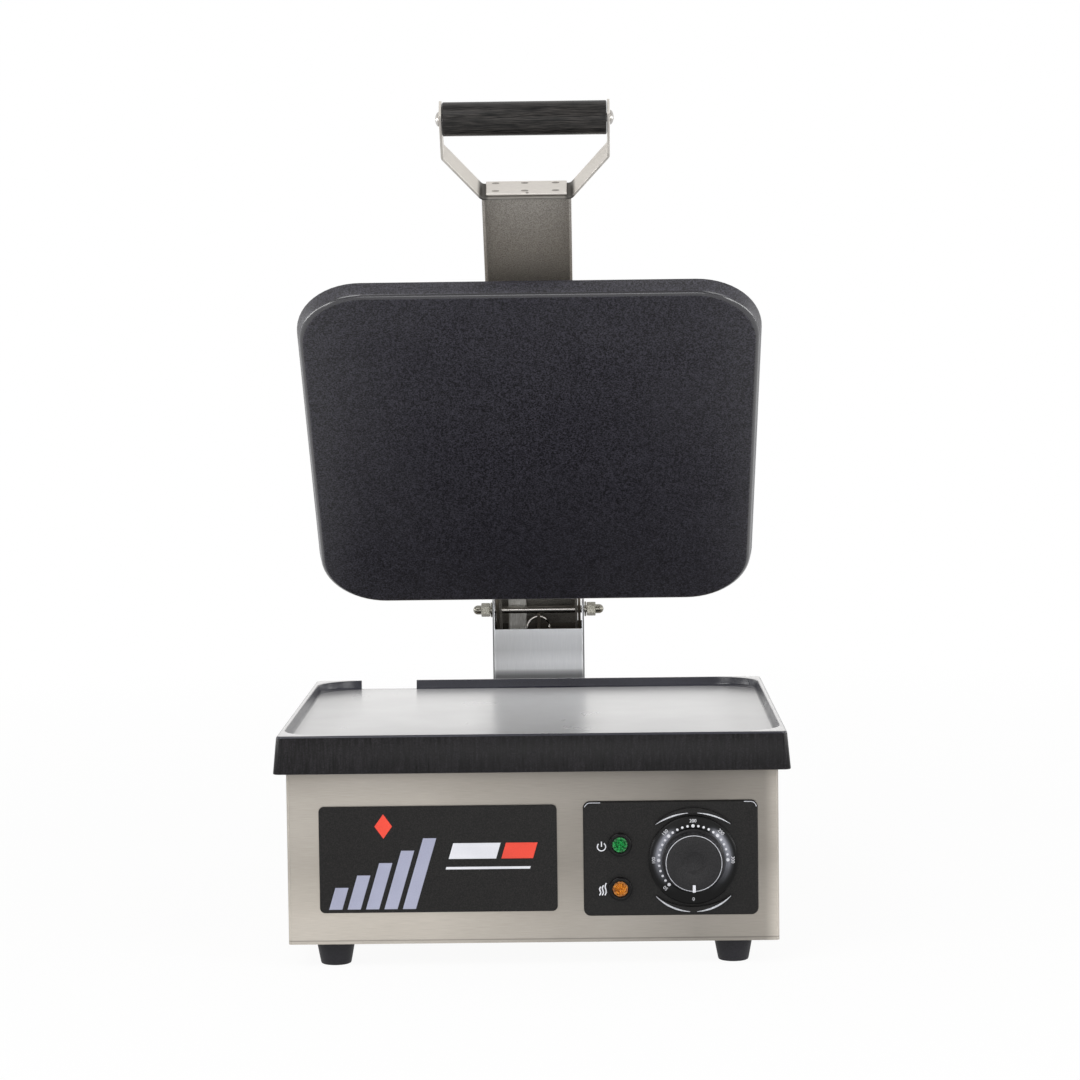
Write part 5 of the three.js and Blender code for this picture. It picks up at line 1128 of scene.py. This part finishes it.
# Camera, light and floor
def camera():
    """The photograph's camera. Its focal length and picture size are in pixels."""
    focal, size, sensor = 3300, 1080, 36
    yaw, pitch, roll = (math.radians(a) for a in (-0.80, -3.96, 0.73))
    level = math.cos(pitch)
    ahead = Vector((math.sin(yaw) * level, math.cos(yaw) * level, math.sin(pitch)))
    right = Vector((math.cos(yaw), -math.sin(yaw), 0))
    up = right.cross(ahead)
    across = right * math.cos(roll) - up * math.sin(roll)
    upright = up * math.cos(roll) + right * math.sin(roll)
    data = bpy.data.cameras.new("photo_camera")
    obj = bpy.data.objects.new("photo_camera", data)
    bpy.context.scene.collection.objects.link(obj)
    turn = Matrix((across, upright, -ahead)).transposed().to_4x4()
    place = Vector((32.28, -1861.45 - ORIGIN_Y, 367.31)) * MM
    obj.matrix_world = Matrix.Translation(place) @ turn
    data.sensor_fit = "HORIZONTAL"
    data.sensor_width = sensor
    data.lens = focal / size * sensor
    data.shift_y = 9.6 / size
    data.clip_start = 0.05
    data.clip_end = 60
    bpy.context.scene.camera = obj


def area_lamp(name, place, target, size, power):
    data = bpy.data.lights.new(name, "AREA")
    data.shape = "RECTANGLE"
    data.size, data.size_y = size
    data.energy = power
    obj = bpy.data.objects.new(name, data)
    bpy.context.scene.collection.objects.link(obj)
    obj.visible_camera = False
    obj.location = place
    way = Vector(target) - Vector(place)
    obj.rotation_euler = way.to_track_quat("-Z", "Y").to_euler()


def world():
    """Soft light from all sides, a white backdrop, and reflections that dim towards the front."""
    made = bpy.data.worlds.new("studio")
    bpy.context.scene.world = made
    made.use_nodes = True
    tree = made.node_tree
    tree.nodes.clear()
    path = node(tree, "LightPath").outputs
    split = node(tree, "SeparateXYZ", node(tree, "TexCoord").outputs["Generated"])
    front = ramp(made, split.outputs["Y"], 0.5, 1.0, -0.9, 0.1)
    soft = node(tree, "Background", Color=(1, 0.99, 0.975, 1), Strength=0.62)
    seen = node(tree, "Background", Color=(1, 1, 1, 1), Strength=1.0)
    mirror = node(tree, "Background", Color=(1, 0.99, 0.98, 1), Strength=front)
    light = node(tree, "MixShader", path["Is Glossy Ray"], soft.outputs[0], mirror.outputs[0])
    through = path["Is Transmission Ray"]
    either = node(tree, "Math", path["Is Camera Ray"], through, operation="MAXIMUM")
    both = node(tree, "MixShader", either.outputs[0], light.outputs[0], seen.outputs[0])
    node(tree, "OutputWorld", Surface=both.outputs[0])


def floor():
    """A floor that glows like the white backdrop where it is seen, a little less near the part."""
    mesh = bpy.data.meshes.new("studio_floor")
    mesh.from_pydata([(-6, -6, 0), (6, -6, 0), (6, 6, 0), (-6, 6, 0)], [], [(0, 1, 2, 3)])
    obj = bpy.data.objects.new("studio_floor", mesh)
    bpy.context.scene.collection.objects.link(obj)
    material = bpy.data.materials.new("studio_floor")
    material.use_nodes = True
    tree = material.node_tree
    tree.nodes.clear()
    matt = node(tree, "BsdfDiffuse", Color=(0.8, 0.8, 0.8, 1))
    glow = node(tree, "Emission", Strength=1.0)
    path = node(tree, "LightPath").outputs
    either = node(tree, "Math", path["Is Camera Ray"], path["Is Glossy Ray"], operation="MAXIMUM")
    reach = node(tree, "VectorMath", place_in(material), operation="LENGTH")
    far = ramp(material, reach.outputs["Value"], 0.93, 1.0, 0.5, 1.5)
    scaled = node(tree, "Math", either.outputs[0], far, operation="MULTIPLY")
    mix = node(tree, "MixShader", scaled.outputs[0], matt.outputs[0], glow.outputs[0])
    node(tree, "OutputMaterial", Surface=mix.outputs[0])
    mesh.materials.append(material)


dress_nodes()
lower_plate()
rubber_feet()
dial_face()
turning_knob()
dial_scale()
moulded_lines()
panel_signs()
badge_design()
lamps()
hinge_post()
post_bolts()
axle()
gland()
upper_plate()
strap()
weld_plate()
handle_screws()
grip()
spring_wire()
wire_sleeve()
camera()
world()
floor()
area_lamp("key", (-1.1, -1.9, 2.0), (0, 0, 0.2), (1.4, 1.4), 26)
area_lamp("fill", (1.4, -1.6, 1.5), (0, 0, 0.2), (1.2, 1.2), 12)
area_lamp("low", (0.1, -2.3, 0.26), (0, 0.1, 0.16), (1.2, 0.4), 5)
area_lamp("left_strip", (-1.7, -0.2, 0.47), (0, -0.05, 0.35), (2.4, 0.2), 12)
area_lamp("right_strip", (1.7, -0.2, 0.47), (0, -0.05, 0.35), (2.4, 0.2), 12)
area_lamp("left_corner", (-1.5, -1.3, 0.3), (-0.12, 0, 0.42), (0.4, 0.5), 2.6)
area_lamp("right_corner", (1.5, -1.3, 0.3), (0.12, 0, 0.42), (0.4, 0.5), 3.2)
bpy.context.scene.view_settings.view_transform = "Standard"
